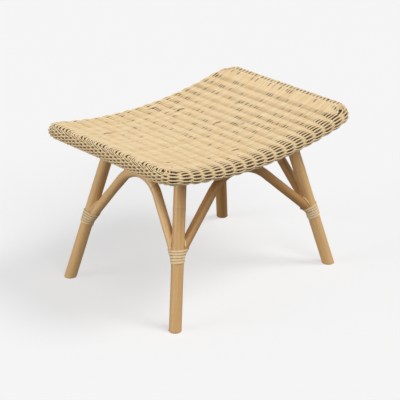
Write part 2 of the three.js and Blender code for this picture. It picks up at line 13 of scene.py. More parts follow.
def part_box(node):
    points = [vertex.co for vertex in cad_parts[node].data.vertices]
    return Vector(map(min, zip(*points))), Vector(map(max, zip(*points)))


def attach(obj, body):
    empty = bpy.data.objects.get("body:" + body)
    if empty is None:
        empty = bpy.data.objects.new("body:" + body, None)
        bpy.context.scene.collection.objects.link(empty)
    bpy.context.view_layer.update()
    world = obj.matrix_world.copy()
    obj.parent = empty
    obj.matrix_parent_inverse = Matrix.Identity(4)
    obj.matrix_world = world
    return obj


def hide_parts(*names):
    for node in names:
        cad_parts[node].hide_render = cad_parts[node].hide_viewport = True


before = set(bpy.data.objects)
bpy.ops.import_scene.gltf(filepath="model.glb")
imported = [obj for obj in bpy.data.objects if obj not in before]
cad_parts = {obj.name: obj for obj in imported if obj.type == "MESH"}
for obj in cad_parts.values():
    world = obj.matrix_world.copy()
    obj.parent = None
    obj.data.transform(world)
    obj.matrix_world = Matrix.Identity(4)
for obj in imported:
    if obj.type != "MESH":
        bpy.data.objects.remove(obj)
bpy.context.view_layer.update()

MM = 0.001
chance = random.Random(11)

# Seat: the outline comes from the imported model, and the rim rods lie inside its edge
SEAT_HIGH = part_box("woven_seat")[1]
RIM_RADIUS = 6 * MM
HOLLOW_RADIUS = 6.3 * MM
EDGE_RADIUS = 14.8 * MM
CORNER_RADIUS = 32 * MM
RIM_JOINT_SETBACK = 20 * MM
SEAT_RISE = 32.4 * MM
HALF_LENGTH = SEAT_HIGH.x - EDGE_RADIUS
HALF_WIDTH = SEAT_HIGH.y - EDGE_RADIUS
MID_HEIGHT = SEAT_HIGH.z - EDGE_RADIUS - SEAT_RISE
STRAIGHT_X = HALF_LENGTH - CORNER_RADIUS
STRAIGHT_Y = HALF_WIDTH - CORNER_RADIUS
QUARTER = STRAIGHT_X + CORNER_RADIUS * math.pi / 2 + STRAIGHT_Y
LOOP = 4 * QUARTER

# Weave. A reach is how far a strand lies from the rim's centre line.
LONG_STAKES = 18
LONG_PITCH = 29 * MM
END_STAKES = 26
END_PITCH = 11.7 * MM
CORNER_STAKES = 3
STAKE_RADIUS = 1.3 * MM
STAKE_REACH = 9.9 * MM
END_STAKE_RADIUS = 1.8 * MM
TOP_ROWS = 108
WIDE_ROWS = 6
WIDE_PITCH = 4.2 * MM
CLOSE_PITCH = (HALF_WIDTH - WIDE_ROWS * WIDE_PITCH) / (TOP_ROWS / 2 - WIDE_ROWS)
WEAVER_RADIUS = 1.6 * MM
WEAVER_REACH = 11.7 * MM
WEAVER_RISE = 1.0 * MM
WEAVER_DROP = 3.4 * MM
WEAVER_SHARPNESS = 3.2
WEAVER_DRIFT = 0.22 * MM
STRAND_WANDER = 0.12 * MM
GROUP_WANDER = 0.3 * MM
TUCK_REACH = 9.4 * MM
SKIRT_RADIUS = 1.7 * MM
SKIRT_REACH = 10.9 * MM
SKIRT_RISE = 2.4 * MM
SKIRT_DROP = 3.4 * MM
FIRST_ROW_ANGLE = math.radians(81)
ROW_TURN = math.radians(15.3)
UPPER_ROWS = 2
RING_ROWS = 9
WALE_STRANDS = 3
WALE_RADIUS = 1.1 * MM
WALE_REACH = 13.7 * MM
WALE_DIP = 4.6 * MM
WALE_TOP = math.radians(75)
WALE_FOOT = math.radians(50)

# The roll over the seat's ends: the rows rise to it over a length, and turn down with it
EDGE_REACH = 15.8 * MM
EDGE_RISE_START = 40 * MM
EDGE_RISE = 30 * MM
EDGE_CUT = 12 * MM
CORNER_DROP = 2.2 * MM
ROLL_SWELL = 0.8 * MM
ROLL_TOP = math.radians(126)
ROLL_FOOT = math.radians(56)
CORNER_ROLL_FOOT = math.radians(78)

# Slots between the rows: they loosen away from the front left corner, in patches. Along the
# long sides they stand open in a band, which widens from left to right at the front.
# How open a slot is sets how dark the shade painted in it is, and how far the over strands swell
# to close it.
SLOT_PATCH = (20 * MM, 9 * MM)
TIGHT_CORNER = 210 * MM
LOOSENING = 300 * MM
FRONT_BAND_LEFT = 27 * MM
FRONT_BAND_RIGHT = 42 * MM
FRONT_BAND_START = -100 * MM
BACK_BAND = 6 * MM

# Lining: canes under the weave, round the edge at these angles and along the top
LINING_RADIUS = 1.9 * MM
LINING_PITCH = 4.5 * MM
LINING_INSET = 1.5 * MM
LINING_END_INSET = 5 * MM
LINING_STEPS = 400
LINING_ANGLES = (66, 88, 112, 138, 164, 190, 216, 242, 268)
RING_LINING_REACH = 8.2 * MM
TOP_LINING_REACH = 7.2 * MM

# Border, and the lip just above it where the stakes end
BORDER_RADIUS = 1.6 * MM
BORDER_ANGLE = math.radians(-93)
BORDER_TURNS = 30
BORDER_STEPS = 16
LIP_ANGLE = math.radians(-88)

# Poles of the frame
LEG_RADIUS = 13 * MM
APRON_RADIUS = 9 * MM
BEARER_RADIUS = 11 * MM
ARCH_RADIUS = 10 * MM
FIT_GAP = 0.3 * MM
FOOT = Vector((229, 169, 0)) * MM
BEARER_X = 152.4 * MM
BEARER_HALF = 178.2 * MM
LEG_TOP_Y = 104.8 * MM
LEG_TOP_DROP = 5 * MM
END_APRON_LIFT = 4 * MM
RIM_CUT_REACH = 200 * MM
RIM_CUT_STEPS = 33
POLE_ROUNDNESS = 14
POLE_STEP = 8 * MM
LEG_STEP = 5 * MM
RIM_STEP = 4 * MM
ARCH_STEPS = 90
ARCH_CUT_STEPS = 60
FOOT_ARRIS = 1.2 * MM
# Millimetres that a leg's pole is drawn past the floor before its foot is sawn
SAW_SPARE_STEPS = (20, 10)

# Joints of the rattan stem: a low swelling with a dark line past it, and where each kind of
# pole has them along its length
JOINT_SWELL = 0.35 * MM
JOINT_LENGTH = 3.5 * MM
JOINT_LINE = 1.4 * MM
JOINT_LINE_PAST = 2.5 * MM
BEARER_JOINTS = (70 * MM, 260 * MM)
APRON_JOINTS = (90 * MM, 200 * MM)
RIM_JOINTS = (110 * MM, 290 * MM)

# Braces: the heights are those of the long ones' feet, and the end ones' feet lie lower
LONG_BEND = 115 * MM
END_BEND = 70 * MM
LONG_APEX_OFFSET = -2.2 * MM
END_APEX_OFFSET = 8.5 * MM
END_FOOT_DROP = 10 * MM
CORNERS = {
    "front_left": (-1, -1, 143 * MM),
    "back_left": (-1, 1, 138 * MM),
    "front_right": (1, -1, 126 * MM),
    "back_right": (1, 1, 132 * MM),
}

# Cane bindings and ties
CANE_WIDTH = 5.2 * MM
CANE_THICKNESS = 1.2 * MM
TURN_PITCH = 5.8 * MM
LAID_GAP = 0.6 * MM
BINDING_LOOPS = 5
BINDING_LIFT = 4 * MM
TIE_RADIUS = 1.2 * MM
TIE_POCKET_SHARE = 0.55
TIE_STEPS = 40
BISECTIONS = 24

# A round strand: its centre line, its radius there, and whether it is over (to 1) or under
# (to -1) what it crosses
# The size of that number also sets how much shade is painted on the strand.
Cane = namedtuple("Cane", "points radii crossings tone closed")


def mix(low, high, share):
    return low + (high - low) * share


def smooth(share):
    share = min(1.0, max(0.0, share))
    return share * share * (3 - 2 * share)


def drift(place, seed, length):
    """A slow wander between -1 and 1 along a strand."""
    return noise.noise(Vector((place / length, seed * 7.31, seed * 1.73)))


# Colours and nodes
def linear(code):
    """An sRGB hex colour as linear red, green, blue and alpha."""
    values = [int(code[i:i + 2], 16) / 255 for i in (1, 3, 5)]
    return [v / 12.92 if v < 0.04045 else ((v + 0.055) / 1.055) ** 2.4 for v in values] + [1.0]


def add_node(tree, kind, inputs, **settings):
    """Adds a node with its settings, and fills its inputs with values or links."""
    node = tree.nodes.new(kind)
    for name, value in settings.items():
        setattr(node, name, value)
    for name, value in inputs.items():
        if isinstance(value, bpy.types.NodeSocket):
            tree.links.new(value, node.inputs[name])
        else:
            node.inputs[name].default_value = value
    return node


def new_material(name):
    material = bpy.data.materials.new(name)
    material.use_nodes = True
    material.node_tree.nodes.clear()
    return material, material.node_tree


def fibre(tree, grain, across, along, detail):
    """Streaks along a strand: noise drawn out to fibres of real width and length."""
    stretch = (1 / across, 1 / across, 1 / along)
    drawn = add_node(tree, "ShaderNodeVectorMath", {0: grain, 1: stretch}, operation="MULTIPLY")
    return add_node(tree, "ShaderNodeTexNoise",
                    {"Vector": drawn.outputs[0], "Scale": 1.0, "Detail": detail}).outputs["Fac"]


def rattan_core_woven(name, pale, deep, dark_colour):
    """Rattan core, split round by a die and woven damp: a pale, dry, slightly hairy strand whose
    colour differs from strand to strand. Shade is painted on it in a dark brown where it dives
    into the weave, and on its flanks beside the slots."""
    material, tree = new_material(name)
    grain = add_node(tree, "ShaderNodeAttribute", {}, attribute_name="grain").outputs["Vector"]
    tone = add_node(tree, "ShaderNodeAttribute", {}, attribute_name="tone").outputs["Fac"]
    depth = add_node(tree, "ShaderNodeAttribute", {}, attribute_name="depth").outputs["Fac"]
    streak = fibre(tree, grain, 0.7 * MM, 22 * MM, 2.0)
    patch = fibre(tree, grain, 9 * MM, 28 * MM, 1.0)
    pick = add_node(tree, "ShaderNodeMath", {0: patch, 1: 0.45}, operation="MULTIPLY")
    pick = add_node(tree, "ShaderNodeMath", {0: streak, 1: 0.875, 2: pick.outputs[0]},
                    operation="MULTIPLY_ADD")
    pick = add_node(tree, "ShaderNodeMath", {0: tone, 1: 0.55, 2: pick.outputs[0]},
                    operation="MULTIPLY_ADD")
    share = add_node(tree, "ShaderNodeMapRange", {
        "Value": pick.outputs[0], "From Min": 0.46, "From Max": 1.36})
    unshaded = add_node(tree, "ShaderNodeMix", {
        0: share.outputs["Result"], 6: linear(pale), 7: linear(deep)}, data_type="RGBA")
    # Painted shade: the depth mask mixes the strand toward the dark colour in the weave's
    # recesses.
    painted_shade = add_node(tree, "ShaderNodeMapRange", {
        "Value": depth, "From Min": 0.2, "From Max": 0.9, "To Max": 0.92})
    colour = add_node(tree, "ShaderNodeMix", {
        0: painted_shade.outputs["Result"], 6: unshaded.outputs[2], 7: linear(dark_colour)}, data_type="RGBA")
    fine = fibre(tree, grain, 0.35 * MM, 9 * MM, 3.0)
    bump = add_node(tree, "ShaderNodeBump", {
        "Height": fine, "Strength": 0.35, "Distance": 0.25 * MM})
    shader = add_node(tree, "ShaderNodeBsdfPrincipled", {
        "Base Color": colour.outputs[2], "Roughness": 0.62, "IOR": 1.45,
        "Normal": bump.outputs["Normal"]})
    add_node(tree, "ShaderNodeOutputMaterial", {"Surface": shader.outputs["BSDF"]})
    return material


def rattan_pole(name, pale, deep, ring):
    """Rattan pole, peeled, sanded and clear lacquered: long fine pores along the grain, a soft
    change of tone round the pole, and a thin darker ring at each joint."""
    material, tree = new_material(name)
    grain = add_node(tree, "ShaderNodeAttribute", {}, attribute_name="grain").outputs["Vector"]
    tone = add_node(tree, "ShaderNodeAttribute", {}, attribute_name="tone").outputs["Fac"]
    depth = add_node(tree, "ShaderNodeAttribute", {}, attribute_name="depth").outputs["Fac"]
    broad = fibre(tree, grain, 5 * MM, 130 * MM, 2.0)
    streak = fibre(tree, grain, 1.1 * MM, 45 * MM, 3.0)
    pores = fibre(tree, grain, 0.45 * MM, 7 * MM, 1.0)
    pick = add_node(tree, "ShaderNodeMath", {0: broad, 1: 0.6, 2: tone},
                    operation="MULTIPLY_ADD")
    pick = add_node(tree, "ShaderNodeMath", {0: streak, 1: 0.5, 2: pick.outputs[0]},
                    operation="MULTIPLY_ADD")
    share = add_node(tree, "ShaderNodeMapRange", {
        "Value": pick.outputs[0], "From Min": 0.35, "From Max": 1.35})
    wood = add_node(tree, "ShaderNodeMix", {
        0: share.outputs["Result"], 6: linear(pale), 7: linear(deep)}, data_type="RGBA")
    pore = add_node(tree, "ShaderNodeMapRange", {
        "Value": pores, "From Min": 0.62, "From Max": 0.74, "To Max": 0.35})
    wood = add_node(tree, "ShaderNodeMix", {
        0: pore.outputs["Result"], 6: wood.outputs[2], 7: linear(ring)}, data_type="RGBA")
    joint = add_node(tree, "ShaderNodeMapRange", {
        "Value": depth, "From Min": 0.2, "From Max": 1.0, "To Max": 0.75})
    wood = add_node(tree, "ShaderNodeMix", {
        0: joint.outputs["Result"], 6: wood.outputs[2], 7: linear(ring)}, data_type="RGBA")
    bump = add_node(tree, "ShaderNodeBump", {
        "Height": pore.outputs["Result"], "Strength": 0.2, "Distance": 0.2 * MM}, invert=True)
    rough = add_node(tree, "ShaderNodeMapRange", {
        "Value": streak, "From Min": 0.3, "From Max": 0.7, "To Min": 0.38, "To Max": 0.5})
    shader = add_node(tree, "ShaderNodeBsdfPrincipled", {
        "Base Color": wood.outputs[2], "Roughness": rough.outputs["Result"], "IOR": 1.47,
        "Coat Weight": 0.12, "Coat Roughness": 0.3, "Normal": bump.outputs["Normal"]})
    add_node(tree, "ShaderNodeOutputMaterial", {"Surface": shader.outputs["BSDF"]})
    return material


def cane_skin(name, pale, deep, dark_colour):
    """Rattan skin, split into a flat strip and wound wet: the glossy outside of the stem shows,
    with fine lines along it and browner edges."""
    material, tree = new_material(name)
    grain = add_node(tree, "ShaderNodeAttribute", {}, attribute_name="grain").outputs["Vector"]
    tone = add_node(tree, "ShaderNodeAttribute", {}, attribute_name="tone").outputs["Fac"]
    depth = add_node(tree, "ShaderNodeAttribute", {}, attribute_name="depth").outputs["Fac"]
    streak = fibre(tree, grain, 0.6 * MM, 30 * MM, 2.0)
    pick = add_node(tree, "ShaderNodeMath", {0: streak, 1: 0.7, 2: tone},
                    operation="MULTIPLY_ADD")
    share = add_node(tree, "ShaderNodeMapRange", {
        "Value": pick.outputs[0], "From Min": 0.2, "From Max": 1.2})
    skin = add_node(tree, "ShaderNodeMix", {
        0: share.outputs["Result"], 6: linear(pale), 7: linear(deep)}, data_type="RGBA")
    edge = add_node(tree, "ShaderNodeMapRange", {
        "Value": depth, "From Min": 0.2, "From Max": 1.0, "To Max": 0.8})
    skin = add_node(tree, "ShaderNodeMix", {
        0: edge.outputs["Result"], 6: skin.outputs[2], 7: linear(dark_colour)}, data_type="RGBA")
    bump = add_node(tree, "ShaderNodeBump", {
        "Height": streak, "Strength": 0.3, "Distance": 0.15 * MM})
    shader = add_node(tree, "ShaderNodeBsdfPrincipled", {
        "Base Color": skin.outputs[2], "Roughness": 0.4, "IOR": 1.47,
        "Normal": bump.outputs["Normal"]})
    add_node(tree, "ShaderNodeOutputMaterial", {"Surface": shader.outputs["BSDF"]})
    return material


def birch_dowel():
    """Birch, turned: pale and plain, with faint grain along the dowel."""
    material, tree = new_material("birch_dowel_turned")
    place = add_node(tree, "ShaderNodeTexCoord", {}).outputs["Object"]
    streak = fibre(tree, place, 0.8 * MM, 0.8 * MM, 2.0)
    wood = add_node(tree, "ShaderNodeMix", {
        0: streak, 6: linear("#dcc394"), 7: linear("#cba873")}, data_type="RGBA")
    shader = add_node(tree, "ShaderNodeBsdfPrincipled", {
        "Base Color": wood.outputs[2], "Roughness": 0.6})
    add_node(tree, "ShaderNodeOutputMaterial", {"Surface": shader.outputs["BSDF"]})
    return material


def fastener_steel(name, grey, rough):
    """Steel of the fasteners, zinc plated on the screws and plain drawn wire on the nails: a
    cool grey with a fine cloud in its gloss."""
    material, tree = new_material(name)
    place = add_node(tree, "ShaderNodeTexCoord", {}).outputs["Object"]
    cloud = fibre(tree, place, 1.2 * MM, 1.2 * MM, 3.0)
    gloss = add_node(tree, "ShaderNodeMapRange", {
        "Value": cloud, "From Min": 0.3, "From Max": 0.7,
        "To Min": rough - 0.08, "To Max": rough + 0.1})
    shader = add_node(tree, "ShaderNodeBsdfPrincipled", {
        "Base Color": linear(grey), "Metallic": 1.0, "Roughness": gloss.outputs["Result"]})
    add_node(tree, "ShaderNodeOutputMaterial", {"Surface": shader.outputs["BSDF"]})
    return material


MATERIALS = {
    # The last colour of the woven and border canes, #4a3018, is the colour of their painted shade.
    "woven_cane": rattan_core_woven("rattan_core_woven", "#f6e2bb", "#e6c897", "#4a3018"),
    "border_cane": rattan_core_woven("rattan_core_border", "#ecd3a4", "#dcb987", "#4a3018"),
    "rim_rod": rattan_pole("rattan_rod_rim", "#d8b27b", "#bb8d55", "#7c5429"),
    "rattan_pole": rattan_pole("rattan_pole_lacquered", "#f3c98e", "#b98a50", "#7c5429"),
    "bent_pole": rattan_pole("rattan_pole_steam_bent", "#f3c98f", "#b98a52", "#74502a"),
    "binding_cane": cane_skin("cane_skin_wound", "#ffe5b8", "#eec894", "#8a6236"),
    "dowel_wood": birch_dowel(),
    "screw_steel": fastener_steel("zinc_plated_steel", "#9a9da1", 0.34),
    "nail_steel": fastener_steel("drawn_steel_wire", "#86888b", 0.42),
}


# Pieces
def place_piece(mesh, name, slot, *nodes):
    """Puts a finished mesh in the scene as one piece that stands for CAD nodes."""
    mesh.name = name
    piece = bpy.data.objects.new(name, mesh)
    bpy.context.scene.collection.objects.link(piece)
    mesh.materials.clear()
    mesh.materials.append(MATERIALS[slot])
    for face in mesh.polygons:
        face.use_smooth = True
    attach(piece, "root")
    if nodes:
        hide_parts(*nodes)
    return piece


def tube_mesh(canes, roundness):
    """One mesh of round tubes with 4 + 2 * roundness sides, with their ends left open."""
    curve = bpy.data.curves.new("canes", "CURVE")
    curve.dimensions = "3D"
    curve.bevel_depth = 1.0
    curve.bevel_resolution = roundness
    for cane in canes:
        spline = curve.splines.new("POLY")
        spline.points.add(len(cane.points) - 1)
        flat = [value for point in cane.points for value in (*point, 1.0)]
        spline.points.foreach_set("co", flat)
        spline.points.foreach_set("radius", cane.radii)
        spline.use_cyclic_u = cane.closed
    holder = bpy.data.objects.new("canes", curve)
    bpy.context.scene.collection.objects.link(holder)
    graph = bpy.context.evaluated_depsgraph_get()
    mesh = bpy.data.meshes.new_from_object(holder.evaluated_get(graph))
    bpy.data.objects.remove(holder)
    bpy.data.curves.remove(curve)
    return mesh


def close_ends(mesh):
    shape = bmesh.new()
    shape.from_mesh(mesh)
    rims = [edge for edge in shape.edges if edge.is_boundary]
    bmesh.ops.holes_fill(shape, edges=rims, sides=0)
    bmesh.ops.recalc_face_normals(shape, faces=shape.faces)
    shape.to_mesh(mesh)
    shape.free()


def cane_lengths(points):
    places = np.array(points)
    steps = np.linalg.norm(np.diff(places, axis=0), axis=1)
    return np.concatenate([[0.0], np.cumsum(steps)])


def mesh_places(mesh):
    places = np.zeros(len(mesh.vertices) * 3)
    mesh.vertices.foreach_get("co", places)
    return places.reshape(-1, 3)


def reach_of(places):
    """How far places lie from the rim's centre line, or from its height inside the rim."""
    x, y, z = np.abs(places).T
    past_x, past_y = x - STRAIGHT_X, y - STRAIGHT_Y
    inside = np.minimum(np.maximum(past_x, past_y), 0)
    outside = np.hypot(np.maximum(past_x, 0), np.maximum(past_y, 0)) + inside - CORNER_RADIUS
    return np.hypot(np.maximum(outside, 0), z - rim_height(np.minimum(x, HALF_LENGTH)))


def recess(places, centres, radius, crossing):
    """How deep a point lies in the weave, from 0 to 1: all of a strand that is under another
    one, and the flanks of a strand beside the slot that it leaves where it is over. The woven
    cane's material paints shade by it."""
    flank = 0.9 - 2.4 * (reach_of(places) - reach_of(centres)) / radius
    return np.where(crossing < 0, np.minimum(-crossing, 1), crossing * np.clip(flank, 0, 1))


def lay_canes(name, slot, canes, roundness, *nodes):
    """A piece of round strands. Each point knows its place in the grain, which starts elsewhere
    on each strand, and its tone, and its depth, by which shade is painted on woven cane."""
    mesh = tube_mesh(canes, roundness)
    sides = 4 + 2 * roundness
    turn = np.arange(sides) * 2 * math.pi / sides
    grain, tone, centres, crossings = [], [], [], []
    for cane in canes:
        along = np.repeat(cane_lengths(cane.points), sides)
        radius = np.repeat(np.array(cane.radii), sides)
        round_it = np.tile(turn, len(cane.points))
        start = cane.tone * 3
        grain.append(np.stack([
            radius * np.cos(round_it) + start, radius * np.sin(round_it), along + start], axis=1))
        tone.append(np.full(len(along), cane.tone))
        centres.append(np.repeat(np.array(cane.points), sides, axis=0))
        crossings.append(np.repeat(np.array(cane.crossings), sides))
    radii = np.repeat(np.concatenate([cane.radii for cane in canes]), sides)
    depth = recess(mesh_places(mesh), np.concatenate(centres), radii, np.concatenate(crossings))
    mark_points(mesh, np.concatenate(grain), np.concatenate(tone), depth)
    close_ends(mesh)
    return place_piece(mesh, name, slot, *nodes)


def mark_points(mesh, grain, tone, depth):
    mesh.attributes.new("grain", "FLOAT_VECTOR", "POINT").data.foreach_set(
        "vector", grain.astype(np.float32).ravel())
    mesh.attributes.new("tone", "FLOAT", "POINT").data.foreach_set(
        "value", tone.astype(np.float32))
    mesh.attributes.new("depth", "FLOAT", "POINT").data.foreach_set(
        "value", depth.astype(np.float32))


# The seat's shape
def rim_height(x):
    return MID_HEIGHT + SEAT_RISE * (x / HALF_LENGTH) ** 2


def rim_slope(x):
    return 2 * SEAT_RISE * x / HALF_LENGTH ** 2


def rim_station(walk):
    """A place on the rim's centre line and the way out of the seat there, for a distance
    walked anticlockwise from the middle of the front side."""
    quarter, walked = divmod(walk, QUARTER)
    quarter = int(quarter) % 4
    if quarter % 2:
        walked = QUARTER - walked
    turned = (walked - STRAIGHT_X) / CORNER_RADIUS
    if turned < 0:
        place, out = Vector((walked, -HALF_WIDTH)), Vector((0, -1))
    elif turned < math.pi / 2:
        out = Vector((math.sin(turned), -math.cos(turned)))
        place = Vector((STRAIGHT_X, -STRAIGHT_Y)) + out * CORNER_RADIUS
    else:
        place, out = Vector((HALF_LENGTH, walked - QUARTER)), Vector((1, 0))
    flip = Vector((-1 if quarter > 1 else 1, -1 if quarter in (1, 2) else 1))
    return place * flip, out * flip


def round_edge(walk, angle, reach):
    place, out = rim_station(walk)
    flat = place + out * reach * math.cos(angle)
    return Vector((flat.x, flat.y, rim_height(place.x) + reach * math.sin(angle)))


def over_edge(place, out, angle, reach):
    """A place on the round edge, or on the sheet inside it where the angle is past the crest."""
    crest = math.pi / 2 + math.atan(rim_slope(abs(place.x)) * abs(out.x))
    turn = min(angle, crest)
    past = reach * max(0.0, angle - crest)
    flat = place + out * (reach * math.cos(turn) - past * math.sin(crest))
    height = reach * math.sin(turn) + past * math.cos(crest)
    return Vector((flat.x, flat.y, rim_height(place.x) + height))


def on_top(x, y, reach):
    tilt = math.atan(rim_slope(x))
    return Vector((x - reach * math.sin(tilt), y, rim_height(x) + reach * math.cos(tilt)))


def stake_walks():
    """The walked distances of all the stakes, for the first quarter and its mirror images."""
    straight = [(i + 0.5) * LONG_PITCH for i in range(LONG_STAKES // 2 - 1)]
    last = (LONG_STAKES / 2 - 0.5) * LONG_PITCH
    corner = STRAIGHT_X + CORNER_RADIUS * math.asin((last - STRAIGHT_X) / CORNER_RADIUS)
    end = [QUARTER - (i + 0.5) * END_PITCH for i in reversed(range(END_STAKES // 2))]
    step = (end[0] - corner) / (CORNER_STAKES + 1)
    quarter = straight + [corner + i * step for i in range(CORNER_STAKES + 1)] + end
    half = quarter + [2 * QUARTER - walk for walk in reversed(quarter)]
    return half + [2 * QUARTER + walk for walk in half]


STAKES = stake_walks()
HALF_STAKES = len(STAKES) // 2
LAST_LONG = LONG_STAKES // 2 - 1


def stake_walk(number):
    laps, stake = divmod(number, len(STAKES))
    return STAKES[stake] + laps * LOOP


def stake_space(number):
    """How wide the stakes stand at a stake, as a share of the long sides' pitch."""
    return (stake_walk(number + 1) - stake_walk(number - 1)) / (2 * LONG_PITCH)


def walk_at(phase):
    """The walked distance for a stake's number with a share of the way to the next one."""
    number = math.floor(phase)
    return mix(stake_walk(number), stake_walk(number + 1), phase - number)


def stitch(row, number, share, sharpness):
    """1 where a strand is over a stake, and -1 where it is under one."""
    wave = math.cos(math.pi * share)
    return (-1) ** (row + number) * math.copysign(abs(wave) ** sharpness, wave)


# The weave's top: rows along the seat that roll over its ends
STITCH_SHARES = (-0.5, -0.36, -0.23, -0.15, -0.07, 0.0, 0.07, 0.15, 0.23, 0.36)
# Places where a strand has slipped out of its row: middle, length and sideways shift
SLIPPED = [(x * MM, y * MM, length * MM, shift * MM) for x, y, length, shift in (
    (46, 115, 52, 2.8), (107, 117, 44, -2.4), (52, 1, 58, 3.0), (-44, 6, 60, -2.6),
    (104, -115, 40, 3.0), (48, -106, 34, 2.4), (227, -135, 36, -2.4), (-100, 134, 70, 2.0),
    (4, 165, 60, 1.9), (-180, 88, 74, 2.0), (-130, -40, 58, 2.2), (-75, -95, 50, -2.0),
    (150, 40, 44, 2.2), (10, -60, 44, -2.2), (-200, -120, 50, 1.8), (170, 150, 40, -2.0),
    (-160, 20, 60, 2.0), (-30, -130, 52, 2.0), (-220, 60, 50, -1.8), (90, -40, 46, 2.0))]


def slip(x, row):
    """A row's sideways and upward shift at x, and how strongly shade is painted on its flanks
    there, in the gap beside it.
    """
    y = row_place(row)
    for middle_x, middle_y, length, shift in SLIPPED:
        away = abs(x - middle_x) / (length / 2)
        rows_off = round((y - middle_y) / CLOSE_PITCH)
        if away < 1 and abs(rows_off) < 2:
            bump = math.cos(away * math.pi / 2) ** 2
            if rows_off == 0:
                return shift * bump, 0.6 * abs(shift) * bump, 0.5 * bump
            if rows_off * shift < 0:
                return -0.1 * shift * bump, -0.2 * abs(shift) * bump, 0.6 * bump
    return 0.0, 0.0, 0.0


def row_place(row):
    """A row's place across the seat. The last rows before the long sides lie wider apart."""
    middle = (TOP_ROWS - 1) / 2
    from_side = middle + 0.5 - abs(row - middle)
    if from_side > WIDE_ROWS:
        return (row - middle) * CLOSE_PITCH
    return math.copysign(HALF_WIDTH - from_side * WIDE_PITCH, row - middle)


def row_end(y):
    """How far along the seat a row's place meets the rim's centre line, and the turn there."""
    past = abs(y) - STRAIGHT_Y
    if past <= 0:
        return HALF_LENGTH, 0.0
    run = math.sqrt(CORNER_RADIUS ** 2 - past ** 2)
    return STRAIGHT_X + run, math.atan2(past, run)


def gathered(y):
    """The place of the end stake that a row's strand is drawn to."""
    number = round(abs(y) / END_PITCH - 0.5)
    return math.copysign((number + 0.5) * END_PITCH, y)


# The luck of each slot, for its column and row: it opens where the weave is loose enough
SLOT_LUCK = {(column, row): chance.random()
             for column in range(-1, LONG_STAKES + 3) for row in range(-TOP_ROWS, TOP_ROWS)}


def openness(x, y):
    """How open a slot is, which sets how dark the shade painted in it is. The weave is beaten up
    tighter toward the front left corner, where slots hardly show. Elsewhere they are fine, with
    wider ones in short combs."""
    slack = smooth((x + 0.5 * y + TIGHT_CORNER) / LOOSENING)
    patch = noise.noise(Vector((x / SLOT_PATCH[0], y / SLOT_PATCH[1], 4.7)))
    loose = mix(0.03, 0.22, slack) + 0.3 * patch
    luck = SLOT_LUCK[int((x + HALF_LENGTH) / LONG_PITCH), int(y / CLOSE_PITCH)]
    return mix(0.08, 0.27, slack) + 1.1 * smooth((loose - luck) / 0.12 + 0.5)


def near_side(x, y):
    """From 0 to 1 in the last rows before the long sides, where the weave opens. At the front
    it does so over more rows, and most toward the right."""
    rightward = smooth((x - FRONT_BAND_START) / LOOSENING)
    band = BACK_BAND if y > 0 else mix(FRONT_BAND_LEFT, FRONT_BAND_RIGHT, rightward)
    return smooth(1 - (HALF_WIDTH - abs(y)) / band)


def corner_drop(turn):
    """How much lower the roll over the ends lies where it turns the seat's corners."""
    return CORNER_DROP * smooth((turn - 0.1) / 0.9)


def roll_over(row, side, early):
    """The part of a row that rolls over the seat's end and is tucked under the wale. One that
    dives early leaves a slot above the wale."""
    y = row_place(row)
    end, turn = row_end(y)
    bulge = ROLL_SWELL * drift(y, 60 + side, 11 * MM) - corner_drop(turn)
    last = mix(ROLL_FOOT, CORNER_ROLL_FOOT, smooth((turn - 0.6) / 0.5))
    out = Vector((side * math.cos(turn), math.copysign(math.sin(turn), y)))
    points, waves = [], []
    for step in range(11):
        share = step / 10
        dive = smooth((share + 0.02) / 0.16) if early else smooth((share - 0.6) / 0.4)
        drawn = y if turn else mix(y, gathered(y), 0.3 * share)
        angle = mix(ROLL_TOP, last, share)
        reach = mix(EDGE_REACH + bulge, TUCK_REACH - 0.8 * MM * early, dive)
        points.append(over_edge(Vector((side * end, drawn)), out, angle, reach))
        # Painted shade: dark where the strand dives, and on its flanks before that.
        waves.append(-dive if early or share > 0.7 else 0.9)
    return points, waves


def top_weaver(row):
    """One strand from end to end of the seat, with the rolls over both ends."""
    y = row_place(row)
    end, turn = row_end(y)
    points, waves, swells = [], [], []
    for number in range(LONG_STAKES):
        for share in STITCH_SHARES:
            x = (number - (LONG_STAKES - 1) / 2 + share) * LONG_PITCH
            if abs(x) > end - EDGE_CUT:
                continue
            side = near_side(x, y)
            wave = stitch(row, number, share, mix(WEAVER_SHARPNESS, 1.5, side))
            lift = smooth((abs(x) - end + EDGE_RISE_START) / EDGE_RISE)
            aside, up, gap = slip(x, row)
            reach = mix(WEAVER_REACH, EDGE_REACH - corner_drop(turn), lift) + up
            reach += wave * (1 - lift) * (WEAVER_RISE if wave > 0 else WEAVER_DROP)
            reach += WEAVER_DRIFT * drift(x, row, 40 * MM)
            wander = GROUP_WANDER * drift(x, 5 + row // 3, 70 * MM)
            wander += STRAND_WANDER * drift(x, row, 25 * MM)
            points.append(on_top(x, y + aside + wander, reach))
            # Painted shade: room scales how dark this strand is painted under stakes and on its
            # flanks, and its swell closes slots where the weave is tight.
            room = mix(openness(x, y), 1.6, side)
            waves.append(wave * room if wave < 0 else max(0.85 * wave * room, gap))
            swells.append(1 + 0.3 * max(wave, 0) * (1 - min(room, 1)) * (1 - side))
    dives = [row % 3 == 0 and chance.random() < 0.9 for _ in range(2)]
    left, left_waves = roll_over(row, -1, dives[0])
    right, right_waves = roll_over(row, 1, dives[1])
    points = left[::-1] + points + right
    waves = left_waves[::-1] + waves + right_waves
    swells = [1.0] * len(left) + swells + [1.0] * len(right)
    thick = WEAVER_RADIUS * chance.uniform(0.97, 1.06)
    if abs(y) > HALF_WIDTH - WIDE_ROWS * WIDE_PITCH:
        thick *= 1.14
    return Cane(points, [thick * swell for swell in swells], waves, chance.random(), False)


def seat_top():
    rows = [top_weaver(row) for row in range(TOP_ROWS)]
    half = TOP_ROWS // 2
    lay_canes("weave_top_front", "woven_cane", rows[:half], 2, "woven_seat")
    lay_canes("weave_top_back", "woven_cane", rows[half:], 2, "woven_seat")


